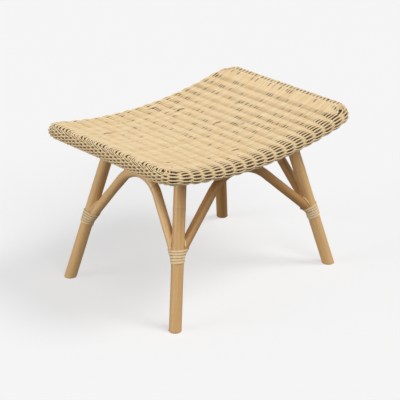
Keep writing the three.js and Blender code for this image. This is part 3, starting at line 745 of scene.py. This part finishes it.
# The weave's edge: rows that run round it
def edge_row(row, first, last, angle, openings):
    """A row between two stakes' numbers, and how far its openings stand open. A row that goes
    all the way round is closed, and the ends of any other one dive under the weave."""
    closed = last - first == len(STAKES)
    points, waves = [], []
    seed = 40 + row + first
    thick = SKIRT_RADIUS * chance.uniform(0.95, 1.05)
    for number in range(first, last):
        steps = 8 if stake_walk(number + 1) - stake_walk(number) > LONG_PITCH / 2 else 4
        for step in range(steps):
            share = step / steps
            walk = walk_at(number + share)
            space = mix(stake_space(number), stake_space(number + 1), share)
            wave = stitch(row, number, share, 1.0) * mix(0.8, 1.0, smooth(space))
            reach = SKIRT_REACH + wave * (SKIRT_RISE if wave > 0 else openings * SKIRT_DROP)
            if not closed:
                ends = min(number + share - first, last - number - share)
                reach = mix(TUCK_REACH - 1.4 * MM, reach, smooth(ends))
            reach += 0.25 * MM * drift(walk, seed, 50 * MM)
            turn = angle + math.radians(1.4) * drift(walk, seed + 9, 60 * MM)
            points.append(round_edge(walk, turn, reach))
            # The openings also scale the shade painted in them: under the stakes, and on the
            # flanks beside them.
            waves.append(openings * wave)
    return Cane(points, [thick] * len(points), waves, chance.random(), closed)


def seat_edge():
    rows = []
    for row in range(UPPER_ROWS):
        angle = FIRST_ROW_ANGLE - row * ROW_TURN
        for middle, openings in ((0, 0.8), (HALF_STAKES, 0.3)):
            first, last = middle - LAST_LONG - 3, middle + LAST_LONG + 2
            rows.append(edge_row(row - UPPER_ROWS, first, last, angle, openings))
    for row in range(RING_ROWS):
        angle = FIRST_ROW_ANGLE - (UPPER_ROWS + row) * ROW_TURN
        rows.append(edge_row(row, 0, len(STAKES), angle, 1.0))
    lay_canes("weave_edge", "woven_cane", rows, 2, "woven_seat")


def seat_lining():
    """Core canes laid under the weave, along the seat and along its rim. They close it from
    inside, and shade is painted on them in dark brown, so that nothing pale shows through its
    slots."""
    canes = []
    for angle in LINING_ANGLES:
        points = []
        for step in range(LINING_STEPS):
            place, out = rim_station(LOOP * step / LINING_STEPS)
            points.append(over_edge(place, out, math.radians(angle), RING_LINING_REACH))
        # Painted shade: these canes round the rim are painted almost wholly dark.
        canes.append(Cane(points, [LINING_RADIUS] * len(points), [-0.95] * len(points),
                          chance.random(), True))
    last = HALF_WIDTH - LINING_INSET
    count = round(2 * last / LINING_PITCH)
    for row in range(count + 1):
        y = (2 * row / count - 1) * last
        run = row_end(y)[0] - LINING_END_INSET
        points = [on_top((step / 10 - 1) * run, y, TOP_LINING_REACH) for step in range(21)]
        # Painted shade: the canes along the top are painted partly dark.
        canes.append(Cane(points, [LINING_RADIUS] * len(points), [-0.35] * len(points),
                          chance.random(), False))
    lay_canes("weave_lining", "woven_cane", canes, 1, "woven_seat")


def wale_strand(strand, first, last):
    """A strand that slants down over a few stakes, goes behind one, and comes up again."""
    points, waves = [], []
    for step in range(6 * (last - first) + 1):
        phase = first + step / 6
        walked = (phase + strand) % WALE_STRANDS
        from_stake = min(walked, WALE_STRANDS - walked)
        behind = smooth(1.7 - 2 * from_stake)
        down = (walked - 0.5) / (WALE_STRANDS - 1)
        if from_stake < 0.5:
            down = 0.5 - walked if walked < 1 else WALE_STRANDS + 0.5 - walked
        from_end = min(phase - first, last - phase)
        reach = mix(TUCK_REACH - 2 * MM, WALE_REACH - WALE_DIP * behind, smooth(from_end / 1.5))
        reach += 0.5 * MM * drift(phase, 70 + strand, 3)
        place, out = rim_station(walk_at(phase))
        points.append(over_edge(place, out, mix(WALE_TOP, WALE_FOOT, down), reach))
        # Painted shade: dark where the strand goes behind a stake, and strongly on its flanks
        # where it is over.
        waves.append(-behind if behind > 0.4 else 1.4)
    return Cane(points, [WALE_RADIUS] * len(points), waves, chance.random() * 0.6, False)


def seat_wales():
    """A wale of slanting strands round each end of the seat holds the rolled ends down."""
    strands = []
    for first in (LAST_LONG, HALF_STAKES + LAST_LONG):
        last = first + HALF_STAKES - 2 * LAST_LONG - 1
        strands += [wale_strand(strand, first, last) for strand in range(WALE_STRANDS)]
    lay_canes("weave_wales", "woven_cane", strands, 2, "woven_seat")


def long_stake(number):
    """A stake from lip to lip across the seat."""
    walk = stake_walk(number)
    angles = [mix(LIP_ANGLE, math.pi / 2, step / 10) for step in range(10)]
    front = [round_edge(walk, angle, STAKE_REACH) for angle in angles]
    place, _ = rim_station(walk)
    across = [on_top(place.x, mix(place.y, -place.y, step / 16), STAKE_REACH)
              for step in range(1, 16)]
    back = [Vector((point.x, -point.y, point.z)) for point in reversed(front)]
    points = front + across + back
    # Painted shade: the stake lies under the weave and is painted dark.
    under = [-0.75] * len(points)
    return Cane(points, [STAKE_RADIUS] * len(points), under, chance.random(), False)


def end_stake(number):
    angles = [mix(LIP_ANGLE, math.radians(32), step / 10) for step in range(11)]
    points = [round_edge(stake_walk(number), angle, TUCK_REACH + 0.5 * MM) for angle in angles]
    # Painted shade: the stake lies under the weave and is painted dark.
    under = [-0.8] * len(points)
    return Cane(points, [END_STAKE_RADIUS] * len(points), under, chance.random(), False)


def seat_stakes():
    stakes = [long_stake(number) for number in range(-LAST_LONG - 1, LAST_LONG + 1)]
    for first in (LAST_LONG + 1, HALF_STAKES + LAST_LONG + 1):
        last = first + END_STAKES + 2 * CORNER_STAKES
        stakes += [end_stake(number) for number in range(first, last)]
    lay_canes("weave_stakes", "woven_cane", stakes, 2, "woven_seat")


def seat_border():
    """Two strands laid round each other close the weave under the edge."""
    strands = []
    reach = (HOLLOW_RADIUS + EDGE_RADIUS) / 2
    for strand in (0, 1):
        points = []
        for step in range(BORDER_STEPS * BORDER_TURNS):
            twist = 2 * math.pi * (step / BORDER_STEPS + strand / 2)
            walk = LOOP * step / (BORDER_STEPS * BORDER_TURNS)
            turn = BORDER_ANGLE + BORDER_RADIUS / reach * math.cos(twist)
            points.append(round_edge(walk, turn, reach + BORDER_RADIUS * math.sin(twist)))
        # Painted shade on the flanks of each strand that face the rim.
        strands.append(Cane(points, [BORDER_RADIUS] * len(points), [0.6] * len(points),
                            0.3 + 0.4 * strand, True))
    lay_canes("border_plait", "border_cane", strands, 2, "seat_border")


# Poles
def pole_cane(path, radius, joints, seed):
    """A rattan pole: slightly uneven, with a low swelling at each joint of the stem."""
    along = cane_lengths(path)
    radii = []
    for place in along:
        swell = sum(math.exp(-((place - joint) / JOINT_LENGTH) ** 2) for joint in joints)
        radii.append(radius * (1 + 0.01 * drift(place, seed, 60 * MM)) + JOINT_SWELL * swell)
    return Cane(path, radii, [0.0] * len(path), 0.0, False)


def straight_path(start, end, step):
    count = max(2, round((end - start).length / step))
    return [start.lerp(end, i / count) for i in range(count + 1)]


def cut_away(piece, cutters):
    """Cuts closed meshes out of a piece, and makes the result its mesh."""
    for cutter in cutters:
        tool = bpy.data.objects.new("cutter", cutter)
        bpy.context.scene.collection.objects.link(tool)
        cut = piece.modifiers.new("cut", "BOOLEAN")
        cut.object = tool
        cut.operation = "DIFFERENCE"
        cut.solver = "EXACT"
    graph = bpy.context.evaluated_depsgraph_get()
    mesh = bpy.data.meshes.new_from_object(piece.evaluated_get(graph))
    tools = [cut.object for cut in piece.modifiers]
    piece.modifiers.clear()
    piece.data = mesh
    for tool in tools:
        bpy.data.objects.remove(tool)


def cutter_along(path, radius):
    mesh = tube_mesh([Cane(path, [radius] * len(path), None, 0, False)], POLE_ROUNDNESS)
    close_ends(mesh)
    return mesh


def mark_pole(mesh, path, across, tone, joints):
    """Gives each point of a pole its place in the grain, and marks the stem's joints."""
    places = mesh_places(mesh)
    count = len(places)
    line = np.array(path)
    runs = np.diff(line, axis=0)
    lengths = np.linalg.norm(runs, axis=1)
    apart = places[:, None, :] - line[None, :-1, :]
    share = np.clip((apart * runs).sum(2) / lengths ** 2, 0, 1)
    gaps = apart - share[:, :, None] * runs
    nearest = np.linalg.norm(gaps, axis=2).argmin(1)
    every = np.arange(count)
    along = cane_lengths(path)[nearest] + (share * lengths)[every, nearest]
    gap = gaps[every, nearest]
    tangent = runs[nearest] / lengths[nearest][:, None]
    side = np.array(across) - tangent * (tangent @ np.array(across))[:, None]
    side /= np.linalg.norm(side, axis=1)[:, None]
    grain = np.stack([(gap * side).sum(1) + tone * 3,
                      (gap * np.cross(tangent, side)).sum(1), along + tone], axis=1)
    depth = np.zeros(count)
    for joint in joints:
        past = along - joint - JOINT_LINE_PAST
        depth = np.maximum(depth, 0.5 * np.exp(-(past / JOINT_LINE) ** 2))
    mark_points(mesh, grain, np.full(count, tone), depth)


def make_pole(name, slot, path, radius, across, joints, cutters, tone):
    """A smooth pole for the CAD node of the same name."""
    cane = pole_cane(path, radius, joints, len(name) + tone)
    mesh = tube_mesh([cane], POLE_ROUNDNESS)
    close_ends(mesh)
    piece = place_piece(mesh, name + "_pole", slot, name)
    if cutters:
        cut_away(piece, cutters)
    mark_pole(piece.data, path, across, tone, joints)
    for face in piece.data.polygons:
        face.use_smooth = True
    smooth_by_angle(piece.data)
    return piece


def smooth_by_angle(mesh):
    """Keeps the edges of cut ends crisp, and shades the round of the pole smooth."""
    shape = bmesh.new()
    shape.from_mesh(mesh)
    for edge in shape.edges:
        if len(edge.link_faces) == 2:
            edge.smooth = edge.calc_face_angle() < math.radians(35)
    shape.to_mesh(mesh)
    shape.free()


def sheet_to_bearer(x):
    """The height of a bearer's axis that touches the woven sheet from below."""
    drop = (BEARER_RADIUS + FIT_GAP) / math.cos(math.atan(rim_slope(x)))
    return rim_height(x) + HOLLOW_RADIUS - drop


END_BEARER_HEIGHT = sheet_to_bearer(BEARER_X)
LONG_APRON_HEIGHT = sheet_to_bearer(0) - BEARER_RADIUS - FIT_GAP - APRON_RADIUS
END_APRON_HEIGHT = LONG_APRON_HEIGHT + END_APRON_LIFT


def leg_point(corner, height):
    side_x, side_y, _ = CORNERS[corner]
    share = height / END_BEARER_HEIGHT
    return Vector((side_x * mix(FOOT.x, BEARER_X, share),
                   side_y * mix(FOOT.y, LEG_TOP_Y, share), height))


def leg_direction(corner):
    return (leg_point(corner, END_BEARER_HEIGHT) - leg_point(corner, 0)).normalized()


def leg_space(corner):
    below = leg_point(corner, -LEG_RADIUS * 2)
    return cutter_along([below, leg_point(corner, END_BEARER_HEIGHT)], LEG_RADIUS + FIT_GAP)


def bearer_ends(x):
    height = sheet_to_bearer(x)
    return [Vector((x, -BEARER_HALF, height)), Vector((x, BEARER_HALF, height))]


class Arch:
    """A brace's centre line: a straight limb, a bend under the apron, and a straight limb.
    It is drawn upright along its span, and leans across the span in step with its height."""

    def __init__(self, feet, apex, bend, along):
        self.feet = feet
        self.apex = apex
        self.bend = bend
        self.along = along
        self.centre = Vector((apex[along], apex.z - bend))
        self.limbs = [self.limb_to(foot) for foot in feet]
        self.arc = bend * (self.limbs[0][1] - self.limbs[1][1])
        self.length = self.limbs[0][2] + self.arc + self.limbs[1][2]

    def limb_to(self, foot):
        flat = Vector((foot[self.along], foot.z))
        out = flat - self.centre
        swing = math.acos(self.bend / out.length)
        angle = math.atan2(out.y, out.x) + math.copysign(swing, out.x)
        return flat, angle % (2 * math.pi), math.sqrt(out.length_squared - self.bend ** 2)

    def bend_point(self, angle):
        return self.centre + self.bend * Vector((math.cos(angle), math.sin(angle)))

    def point(self, share):
        (flat, angle, limb), (last_flat, last_angle, last_limb) = self.limbs
        travelled = share * self.length
        past = travelled - limb
        if past < 0:
            place = flat.lerp(self.bend_point(angle), travelled / limb)
        elif past < self.arc:
            place = self.bend_point(angle - past / self.bend)
        else:
            place = self.bend_point(last_angle).lerp(last_flat, (past - self.arc) / last_limb)
        foot = self.feet[0 if place.x < self.apex[self.along] else 1]
        across = 1 - self.along
        rise = (place.y - foot.z) / (self.apex.z - foot.z)
        spot = Vector((0, 0, place.y))
        spot[self.along] = place.x
        spot[across] = mix(foot[across], self.apex[across], rise)
        return spot

    def path(self, count):
        return [self.point(i / count) for i in range(count + 1)]


class Span:
    """The room between two legs, with its apron and the brace that passes under the apron."""

    def __init__(self, name, ends, side):
        self.name = name
        self.ends = ends
        long = name in ("front", "back")
        self.along = 0 if long else 1
        across = 1 - self.along
        self.height = LONG_APRON_HEIGHT if long else END_APRON_HEIGHT
        self.foot_drop = 0 if long else END_FOOT_DROP
        offset = LONG_APEX_OFFSET if long else END_APEX_OFFSET
        place = abs(leg_point("back_right", self.height)[across])
        reach = ARCH_RADIUS + FIT_GAP + APRON_RADIUS
        apex = Vector((0, 0, self.height - math.sqrt(reach ** 2 - offset ** 2)))
        apex[across] = side * (place + offset)
        feet = [leg_point(end, CORNERS[end][2] - self.foot_drop) for end in ends]
        self.axis = Vector((0, 0, self.height))
        self.axis[across] = side * place
        self.arch = Arch(feet, apex, LONG_BEND if long else END_BEND, self.along)


SPANS = [
    Span("front", ("front_left", "front_right"), -1),
    Span("back", ("back_left", "back_right"), 1),
    Span("left", ("front_left", "back_left"), -1),
    Span("right", ("front_right", "back_right"), 1),
]


def bearers():
    """Poles across the seat, whose ends are hollowed to sit under the rim rods."""
    steps = np.linspace(-RIM_CUT_REACH, RIM_CUT_REACH, RIM_CUT_STEPS).tolist()
    rims = [cutter_along([Vector((x, side * HALF_WIDTH, rim_height(x))) for x in steps],
                         HOLLOW_RADIUS) for side in (-1, 1)]
    for name, x, tone in (("left", -BEARER_X, 0.2), ("middle", 0, 0.5), ("right", BEARER_X, 0.35)):
        path = straight_path(*bearer_ends(x), POLE_STEP)
        make_pole("bearer_" + name, "rattan_pole", path, BEARER_RADIUS, (1, 0, 0),
                  BEARER_JOINTS, [rim.copy() for rim in rims], tone)


def legs():
    for corner, (side_x, _, _) in CORNERS.items():
        top = leg_point(corner, END_BEARER_HEIGHT - LEG_TOP_DROP)
        path = straight_path(leg_point(corner, 0), top, LEG_STEP)
        saddle = cutter_along(bearer_ends(side_x * BEARER_X), BEARER_RADIUS + FIT_GAP)
        make_leg(corner, path, [saddle])


def aprons():
    for number, span in enumerate(SPANS):
        path = straight_path(*[leg_point(end, span.height) for end in span.ends], POLE_STEP)
        cutters = [leg_space(end) for end in span.ends]
        make_pole("apron_" + span.name, "rattan_pole", path, APRON_RADIUS, (0, 0, 1),
                  APRON_JOINTS, cutters, 0.15 + 0.12 * number)


# Where each leg's joint is above the floor, and its tone. No two poles match in colour, and the
# back right leg's deep tone is also painted shade from the seat above it
LEG_POLES = {
    "front_left": (250 * MM, 0.25),
    "back_left": (190 * MM, 0.0),
    "front_right": (235 * MM, 0.0),
    "back_right": (210 * MM, 0.9),
}


def make_leg(corner, path, cutters):
    """A leg whose foot is sawn flat on the floor, with its arris just broken."""
    down = -leg_direction(corner)
    joint, tone = LEG_POLES[corner]
    long_path = [path[0] + down * step * MM for step in SAW_SPARE_STEPS] + path
    piece = make_pole("leg_" + corner, "rattan_pole", long_path, LEG_RADIUS, (1, 0, 0),
                      [SAW_SPARE_STEPS[0] * MM + joint], cutters, tone)
    shape = bmesh.new()
    shape.from_mesh(piece.data)
    everything = shape.verts[:] + shape.edges[:] + shape.faces[:]
    sawn = bmesh.ops.bisect_plane(shape, geom=everything, plane_co=(0, 0, 0),
                                  plane_no=(0, 0, -1), clear_outer=True)
    rim = [item for item in sawn["geom_cut"] if isinstance(item, bmesh.types.BMEdge)]
    foot = bmesh.ops.edgeloop_fill(shape, edges=rim)
    edges = [edge for face in foot["faces"] for edge in face.edges]
    bmesh.ops.bevel(shape, geom=edges, offset=FOOT_ARRIS, segments=2, profile=0.5,
                    affect="EDGES", material=-1)
    shape.to_mesh(piece.data)
    shape.free()
    smooth_by_angle(piece.data)


def rim_rods():
    """Four rods end to end round the seat, joined on its long sides."""
    joint = STRAIGHT_X - RIM_JOINT_SETBACK
    runs = {
        "rim_front": (-joint, joint),
        "rim_back": (2 * QUARTER - joint, 2 * QUARTER + joint),
        "rim_right": (joint + FIT_GAP, 2 * QUARTER - joint - FIT_GAP),
        "rim_left": (2 * QUARTER + joint + FIT_GAP, LOOP - joint - FIT_GAP),
    }
    for number, (name, (first, last)) in enumerate(runs.items()):
        count = round((last - first) / RIM_STEP)
        path = [round_edge(mix(first, last, i / count), 0, 0) for i in range(count + 1)]
        make_pole(name, "rim_rod", path, RIM_RADIUS - 0.1 * MM, (0, 0, 1), RIM_JOINTS, [],
                  0.1 + 0.15 * number)


# Where each brace's joints are along it, and its tone. The left brace's pale tone is painted light
# against the shade on its outer face, and the front and back braces' deep tones are painted shade
# from the seat above
BRACE_POLES = {
    "front": ((120 * MM, 340 * MM), 0.8),
    "back": ((200 * MM, 420 * MM), 0.75),
    "left": ((160 * MM,), -0.1),
    "right": ((220 * MM,), 0.45),
}


def braces():
    for span in SPANS:
        cutters = [leg_space(end) for end in span.ends]
        if span.foot_drop:
            long_arches = [other.arch.path(ARCH_CUT_STEPS)
                           for other in SPANS if not other.foot_drop]
            cutters += [cutter_along(path, ARCH_RADIUS + FIT_GAP) for path in long_arches]
        across = (0, 1, 0) if span.along == 0 else (1, 0, 0)
        joints, tone = BRACE_POLES[span.name]
        make_pole("brace_" + span.name, "bent_pole", span.arch.path(ARCH_STEPS), ARCH_RADIUS,
                  across, joints, cutters, tone)


# Bindings and ties
Limb = namedtuple("Limb", "lean angle foot_height")


class Wrap:
    """What one binding goes round: the leg, and the two brace limbs that leave it."""

    def __init__(self, corner):
        self.corner = corner
        self.up = leg_direction(corner)
        self.centre = leg_point(corner, CORNERS[corner][2] + BINDING_LIFT)
        self.limbs = [self.limb_at(span) for span in SPANS if corner in span.ends]
        self.lean = self.limbs[0].lean
        self.side = self.up.cross(self.lean)
        self.turns = [math.atan2(limb.lean.dot(self.side), limb.lean.dot(self.lean))
                      for limb in self.limbs]

    def limb_at(self, span):
        end = span.ends.index(self.corner)
        share = span.arch.limbs[end][2] / span.arch.length
        foot = span.arch.point(end)
        direction = (span.arch.point(share if end == 0 else 1 - share) - foot).normalized()
        lean = (direction - self.up * direction.dot(self.up)).normalized()
        return Limb(lean, direction.angle(self.up), (foot - self.centre).dot(self.up))

    def tight_point(self, angle, height):
        """The outline stretched tight round leg and limbs: its place and its way out."""
        way = self.lean * math.cos(angle) + self.side * math.sin(angle)
        reach, point = LEG_RADIUS, way * LEG_RADIUS
        for limb in self.limbs:
            offset = max(0, height - limb.foot_height) * math.tan(limb.angle)
            across = self.up.cross(limb.lean)
            long = ARCH_RADIUS / math.cos(limb.angle)
            way_lean, way_across = way.dot(limb.lean), way.dot(across)
            spread = math.hypot(long * way_lean, ARCH_RADIUS * way_across)
            if offset * way_lean + spread > reach:
                reach = offset * way_lean + spread
                point = limb.lean * (offset + long ** 2 * way_lean / spread)
                point += across * ARCH_RADIUS ** 2 * way_across / spread
        return self.centre + self.up * height + point + way * LAID_GAP, way

    def groove(self, number, turn):
        """Height of a strand that lies between the leg and the top of a limb."""
        limb = self.limbs[number]
        on_leg = LEG_RADIUS + FIT_GAP + TIE_RADIUS
        on_limb = ARCH_RADIUS + FIT_GAP + TIE_RADIUS
        across = on_leg * math.sin(turn - self.turns[number])
        out = on_leg * math.cos(turn - self.turns[number])
        if out < 0 or abs(across) > on_limb:
            return -1.0
        over = math.sqrt(on_limb ** 2 - across ** 2)
        return limb.foot_height + (out * math.cos(limb.angle) + over) / math.sin(limb.angle)


# The strip's section: share of its width, and of its thickness
STRIP_SHARES = ((0.0, 0.4), (0.05, 0.78), (0.25, 1.0), (0.5, 1.06), (0.75, 1.0), (0.95, 0.78),
                (1.0, 0.4), (0.94, 0.0), (0.06, 0.0))
STRIP_STEPS = 48
STRIP_TURN_RADIUS = 16 * MM


def strip_section(wrap, angle, height):
    low, low_way = wrap.tight_point(angle, height - CANE_WIDTH / 2)
    high, _ = wrap.tight_point(angle, height + CANE_WIDTH / 2)
    return [low.lerp(high, wide) + low_way * thick * CANE_THICKNESS
            for wide, thick in STRIP_SHARES]


def sweep(sections):
    """A closed strip through sections: each is drawn out of the one before it."""
    shape = bmesh.new()
    first = [shape.verts.new(point) for point in sections[0]]
    edges = [shape.edges.new((first[i - 1], first[i])) for i in range(len(first))]
    rims = edges[:]
    for section in sections[1:]:
        drawn = bmesh.ops.extrude_edge_only(shape, edges=edges)["geom"]
        verts = [item for item in drawn if isinstance(item, bmesh.types.BMVert)]
        edges = [item for item in drawn if isinstance(item, bmesh.types.BMEdge)][:len(section)]
        for vert, point in zip(verts, section[-1:] + section[:-1]):
            vert.co = point
    bmesh.ops.holes_fill(shape, edges=rims + edges, sides=0)
    bmesh.ops.recalc_face_normals(shape, faces=shape.faces)
    mesh = bpy.data.meshes.new("strip")
    shape.to_mesh(mesh)
    shape.free()
    return mesh


# Tone of each binding. The front right one is made paler against the shade it stands in, a painted
# light.
BINDING_TONES = {"front_left": 0.1, "back_left": 0.0, "front_right": -0.2, "back_right": 0.5}


def binding(corner, seed):
    """A strip wound round a leg and its two brace ends, with both ends drawn under it."""
    wrap = Wrap(corner)
    start = sum(wrap.turns) / 2
    sections = []
    for step in range(BINDING_LOOPS * STRIP_STEPS + 1):
        loops = step / STRIP_STEPS
        height = (loops - BINDING_LOOPS / 2) * TURN_PITCH
        height += 0.25 * MM * drift(loops, 3 + seed, 0.6)
        sections.append(strip_section(wrap, start + 2 * math.pi * loops, height))
    _, way = wrap.tight_point(start, 0)
    run = wrap.up.cross(way) * CANE_WIDTH
    sections.insert(0, [point - run for point in sections[0]])
    sections.append([point + run for point in sections[-1]])
    mesh = sweep(sections)
    count = len(STRIP_SHARES)
    step_length = 2 * math.pi * STRIP_TURN_RADIUS / STRIP_STEPS
    along = np.repeat(np.arange(len(sections)) * step_length, count)
    wide = np.tile([share for share, _ in STRIP_SHARES], len(sections))
    grain = np.stack([wide * CANE_WIDTH, np.zeros(len(wide)), along + seed], axis=1)
    edge = np.clip((np.abs(wide - 0.5) - 0.36) / 0.14, 0, 1)
    mark_points(mesh, grain, np.full(len(wide), BINDING_TONES[corner]), edge * 0.7)
    place_piece(mesh, "binding_" + corner + "_strip", "binding_cane", "binding_" + corner)
    tie(corner, wrap)


def tie(corner, wrap):
    """A strand over both crotches, whose ends go under the binding's top turn."""
    top = (BINDING_LOOPS * TURN_PITCH + CANE_WIDTH) / 2 + LAID_GAP + TIE_RADIUS
    on_leg = LEG_RADIUS + FIT_GAP + TIE_RADIUS
    peaks = [wrap.groove(number, wrap.turns[number]) for number in (0, 1)]
    pocket = mix(top, min(peaks), TIE_POCKET_SHARE)
    way = math.copysign(1, wrap.turns[1] - wrap.turns[0])
    ends = []
    for number, toward in ((0, -way), (1, way)):
        inner, outer = 0.0, math.pi / 2
        for _ in range(BISECTIONS):
            middle = (inner + outer) / 2
            if wrap.groove(number, wrap.turns[number] + toward * middle) > top:
                inner = middle
            else:
                outer = middle
        ends.append(wrap.turns[number] + toward * inner)
    points = []
    for step in range(TIE_STEPS + 1):
        turn = mix(*ends, step / TIE_STEPS)
        between_limbs = (turn - wrap.turns[0]) * way > 0 and (wrap.turns[1] - turn) * way > 0
        height = max(wrap.groove(0, turn), wrap.groove(1, turn),
                     pocket if between_limbs else top)
        points.append(wrap.centre + wrap.up * height
                      + wrap.lean * on_leg * math.cos(turn) + wrap.side * on_leg * math.sin(turn))
    cane = Cane(points, [TIE_RADIUS] * len(points), [0.0] * len(points), 0.1, False)
    lay_canes("tie_" + corner + "_strand", "binding_cane", [cane], 3, "tie_" + corner)


# Stage, light and camera
FLOOR_TONE = "#f6f6f6"
FLOOR_HALF = 9000 * MM
WORLD_LIGHT = 0.22


def floor():
    """A pale floor that keeps the stool's shadow, and shows nothing from below."""
    shape = bmesh.new()
    bmesh.ops.create_grid(shape, x_segments=1, y_segments=1, size=FLOOR_HALF)
    mesh = bpy.data.meshes.new("floor")
    shape.to_mesh(mesh)
    shape.free()
    plane = bpy.data.objects.new("floor", mesh)
    bpy.context.scene.collection.objects.link(plane)
    material, tree = new_material("studio_floor")
    lit = add_node(tree, "ShaderNodeBsdfDiffuse", {"Color": linear("#fbfbfb")})
    seen = add_node(tree, "ShaderNodeEmission", {"Color": linear(FLOOR_TONE), "Strength": 1.03})
    share = add_node(tree, "ShaderNodeMixShader", {
        0: 0.6, 1: lit.outputs[0], 2: seen.outputs[0]})
    dull = add_node(tree, "ShaderNodeBsdfDiffuse", {"Color": linear("#98938d")})
    path = add_node(tree, "ShaderNodeLightPath", {})
    facing = add_node(tree, "ShaderNodeMixShader", {
        0: path.outputs["Is Camera Ray"], 1: dull.outputs[0], 2: share.outputs[0]})
    clear = add_node(tree, "ShaderNodeBsdfTransparent", {})
    back = add_node(tree, "ShaderNodeNewGeometry", {}).outputs["Backfacing"]
    both = add_node(tree, "ShaderNodeMixShader", {
        0: back, 1: facing.outputs[0], 2: clear.outputs[0]})
    add_node(tree, "ShaderNodeOutputMaterial", {"Surface": both.outputs[0]})
    mesh.materials.append(material)


def sun(name, toward, strength, spread):
    """A far soft light that comes from the way that toward points to."""
    light = bpy.data.lights.new(name, "SUN")
    light.energy = strength
    light.angle = math.radians(spread)
    lamp = bpy.data.objects.new(name, light)
    lamp.rotation_euler = Vector(toward).to_track_quat("Z", "Y").to_euler()
    bpy.context.scene.collection.objects.link(lamp)


def studio():
    world = bpy.data.worlds.new("studio")
    world.use_nodes = True
    tree = world.node_tree
    tree.nodes.clear()
    path = add_node(tree, "ShaderNodeLightPath", {})
    seen = add_node(tree, "ShaderNodeMath", {
        0: path.outputs["Is Camera Ray"], 1: path.outputs["Is Glossy Ray"]}, operation="MAXIMUM")
    seen = add_node(tree, "ShaderNodeMath", {
        0: seen.outputs[0], 1: path.outputs["Is Transmission Ray"]}, operation="MAXIMUM")
    light = add_node(tree, "ShaderNodeBackground", {
        "Color": linear("#ffffff"), "Strength": WORLD_LIGHT})
    shown = add_node(tree, "ShaderNodeBackground", {
        "Color": linear(FLOOR_TONE), "Strength": 1.0})
    both = add_node(tree, "ShaderNodeMixShader", {
        0: seen.outputs[0], 1: light.outputs[0], 2: shown.outputs[0]})
    add_node(tree, "ShaderNodeOutputWorld", {"Surface": both.outputs[0]})
    bpy.context.scene.world = world
    sun("key", (0.42, -0.5, 1.0), 1.5, 24)
    sun("front", (-0.2, -0.85, 0.7), 0.9, 30)
    sun("fill", (-1.0, 0.45, 0.25), 1.35, 35)


CAMERA_PLACE = Vector((-2.1818, -2.3219, 1.5953))
CAMERA_AIM = Vector((0.62578, 0.66595, -0.40610))
CAMERA_LENS = 146.04
CAMERA_SHIFT = (-0.0009, -0.0139)


def camera():
    """A camera at the photo's viewing angle, fitted to points on the stool's outline."""
    data = bpy.data.cameras.new("camera")
    data.lens = CAMERA_LENS
    data.sensor_width = 36
    data.shift_x, data.shift_y = CAMERA_SHIFT
    eye = bpy.data.objects.new("camera", data)
    eye.location = CAMERA_PLACE
    eye.rotation_euler = CAMERA_AIM.to_track_quat("-Z", "Y").to_euler()
    bpy.context.scene.collection.objects.link(eye)
    bpy.context.scene.camera = eye


def dress_fasteners():
    """The dowels, screws and nails keep their CAD shapes, and get their real finishes."""
    finishes = {"rim_dowel": "dowel_wood", "bearer_screw": "screw_steel",
                "leg_screw": "screw_steel", "brace_screw": "screw_steel",
                "brace_nail": "nail_steel"}
    for name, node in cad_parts.items():
        for start, slot in finishes.items():
            if name.startswith(start):
                node.material_slots[0].material = MATERIALS[slot]


camera()
seat_top()
seat_edge()
seat_wales()
seat_lining()
seat_stakes()
seat_border()
rim_rods()
bearers()
legs()
aprons()
braces()
for seed, corner in enumerate(CORNERS):
    binding(corner, seed)
dress_fasteners()
floor()
studio()
bpy.context.scene.view_settings.view_transform = "Standard"
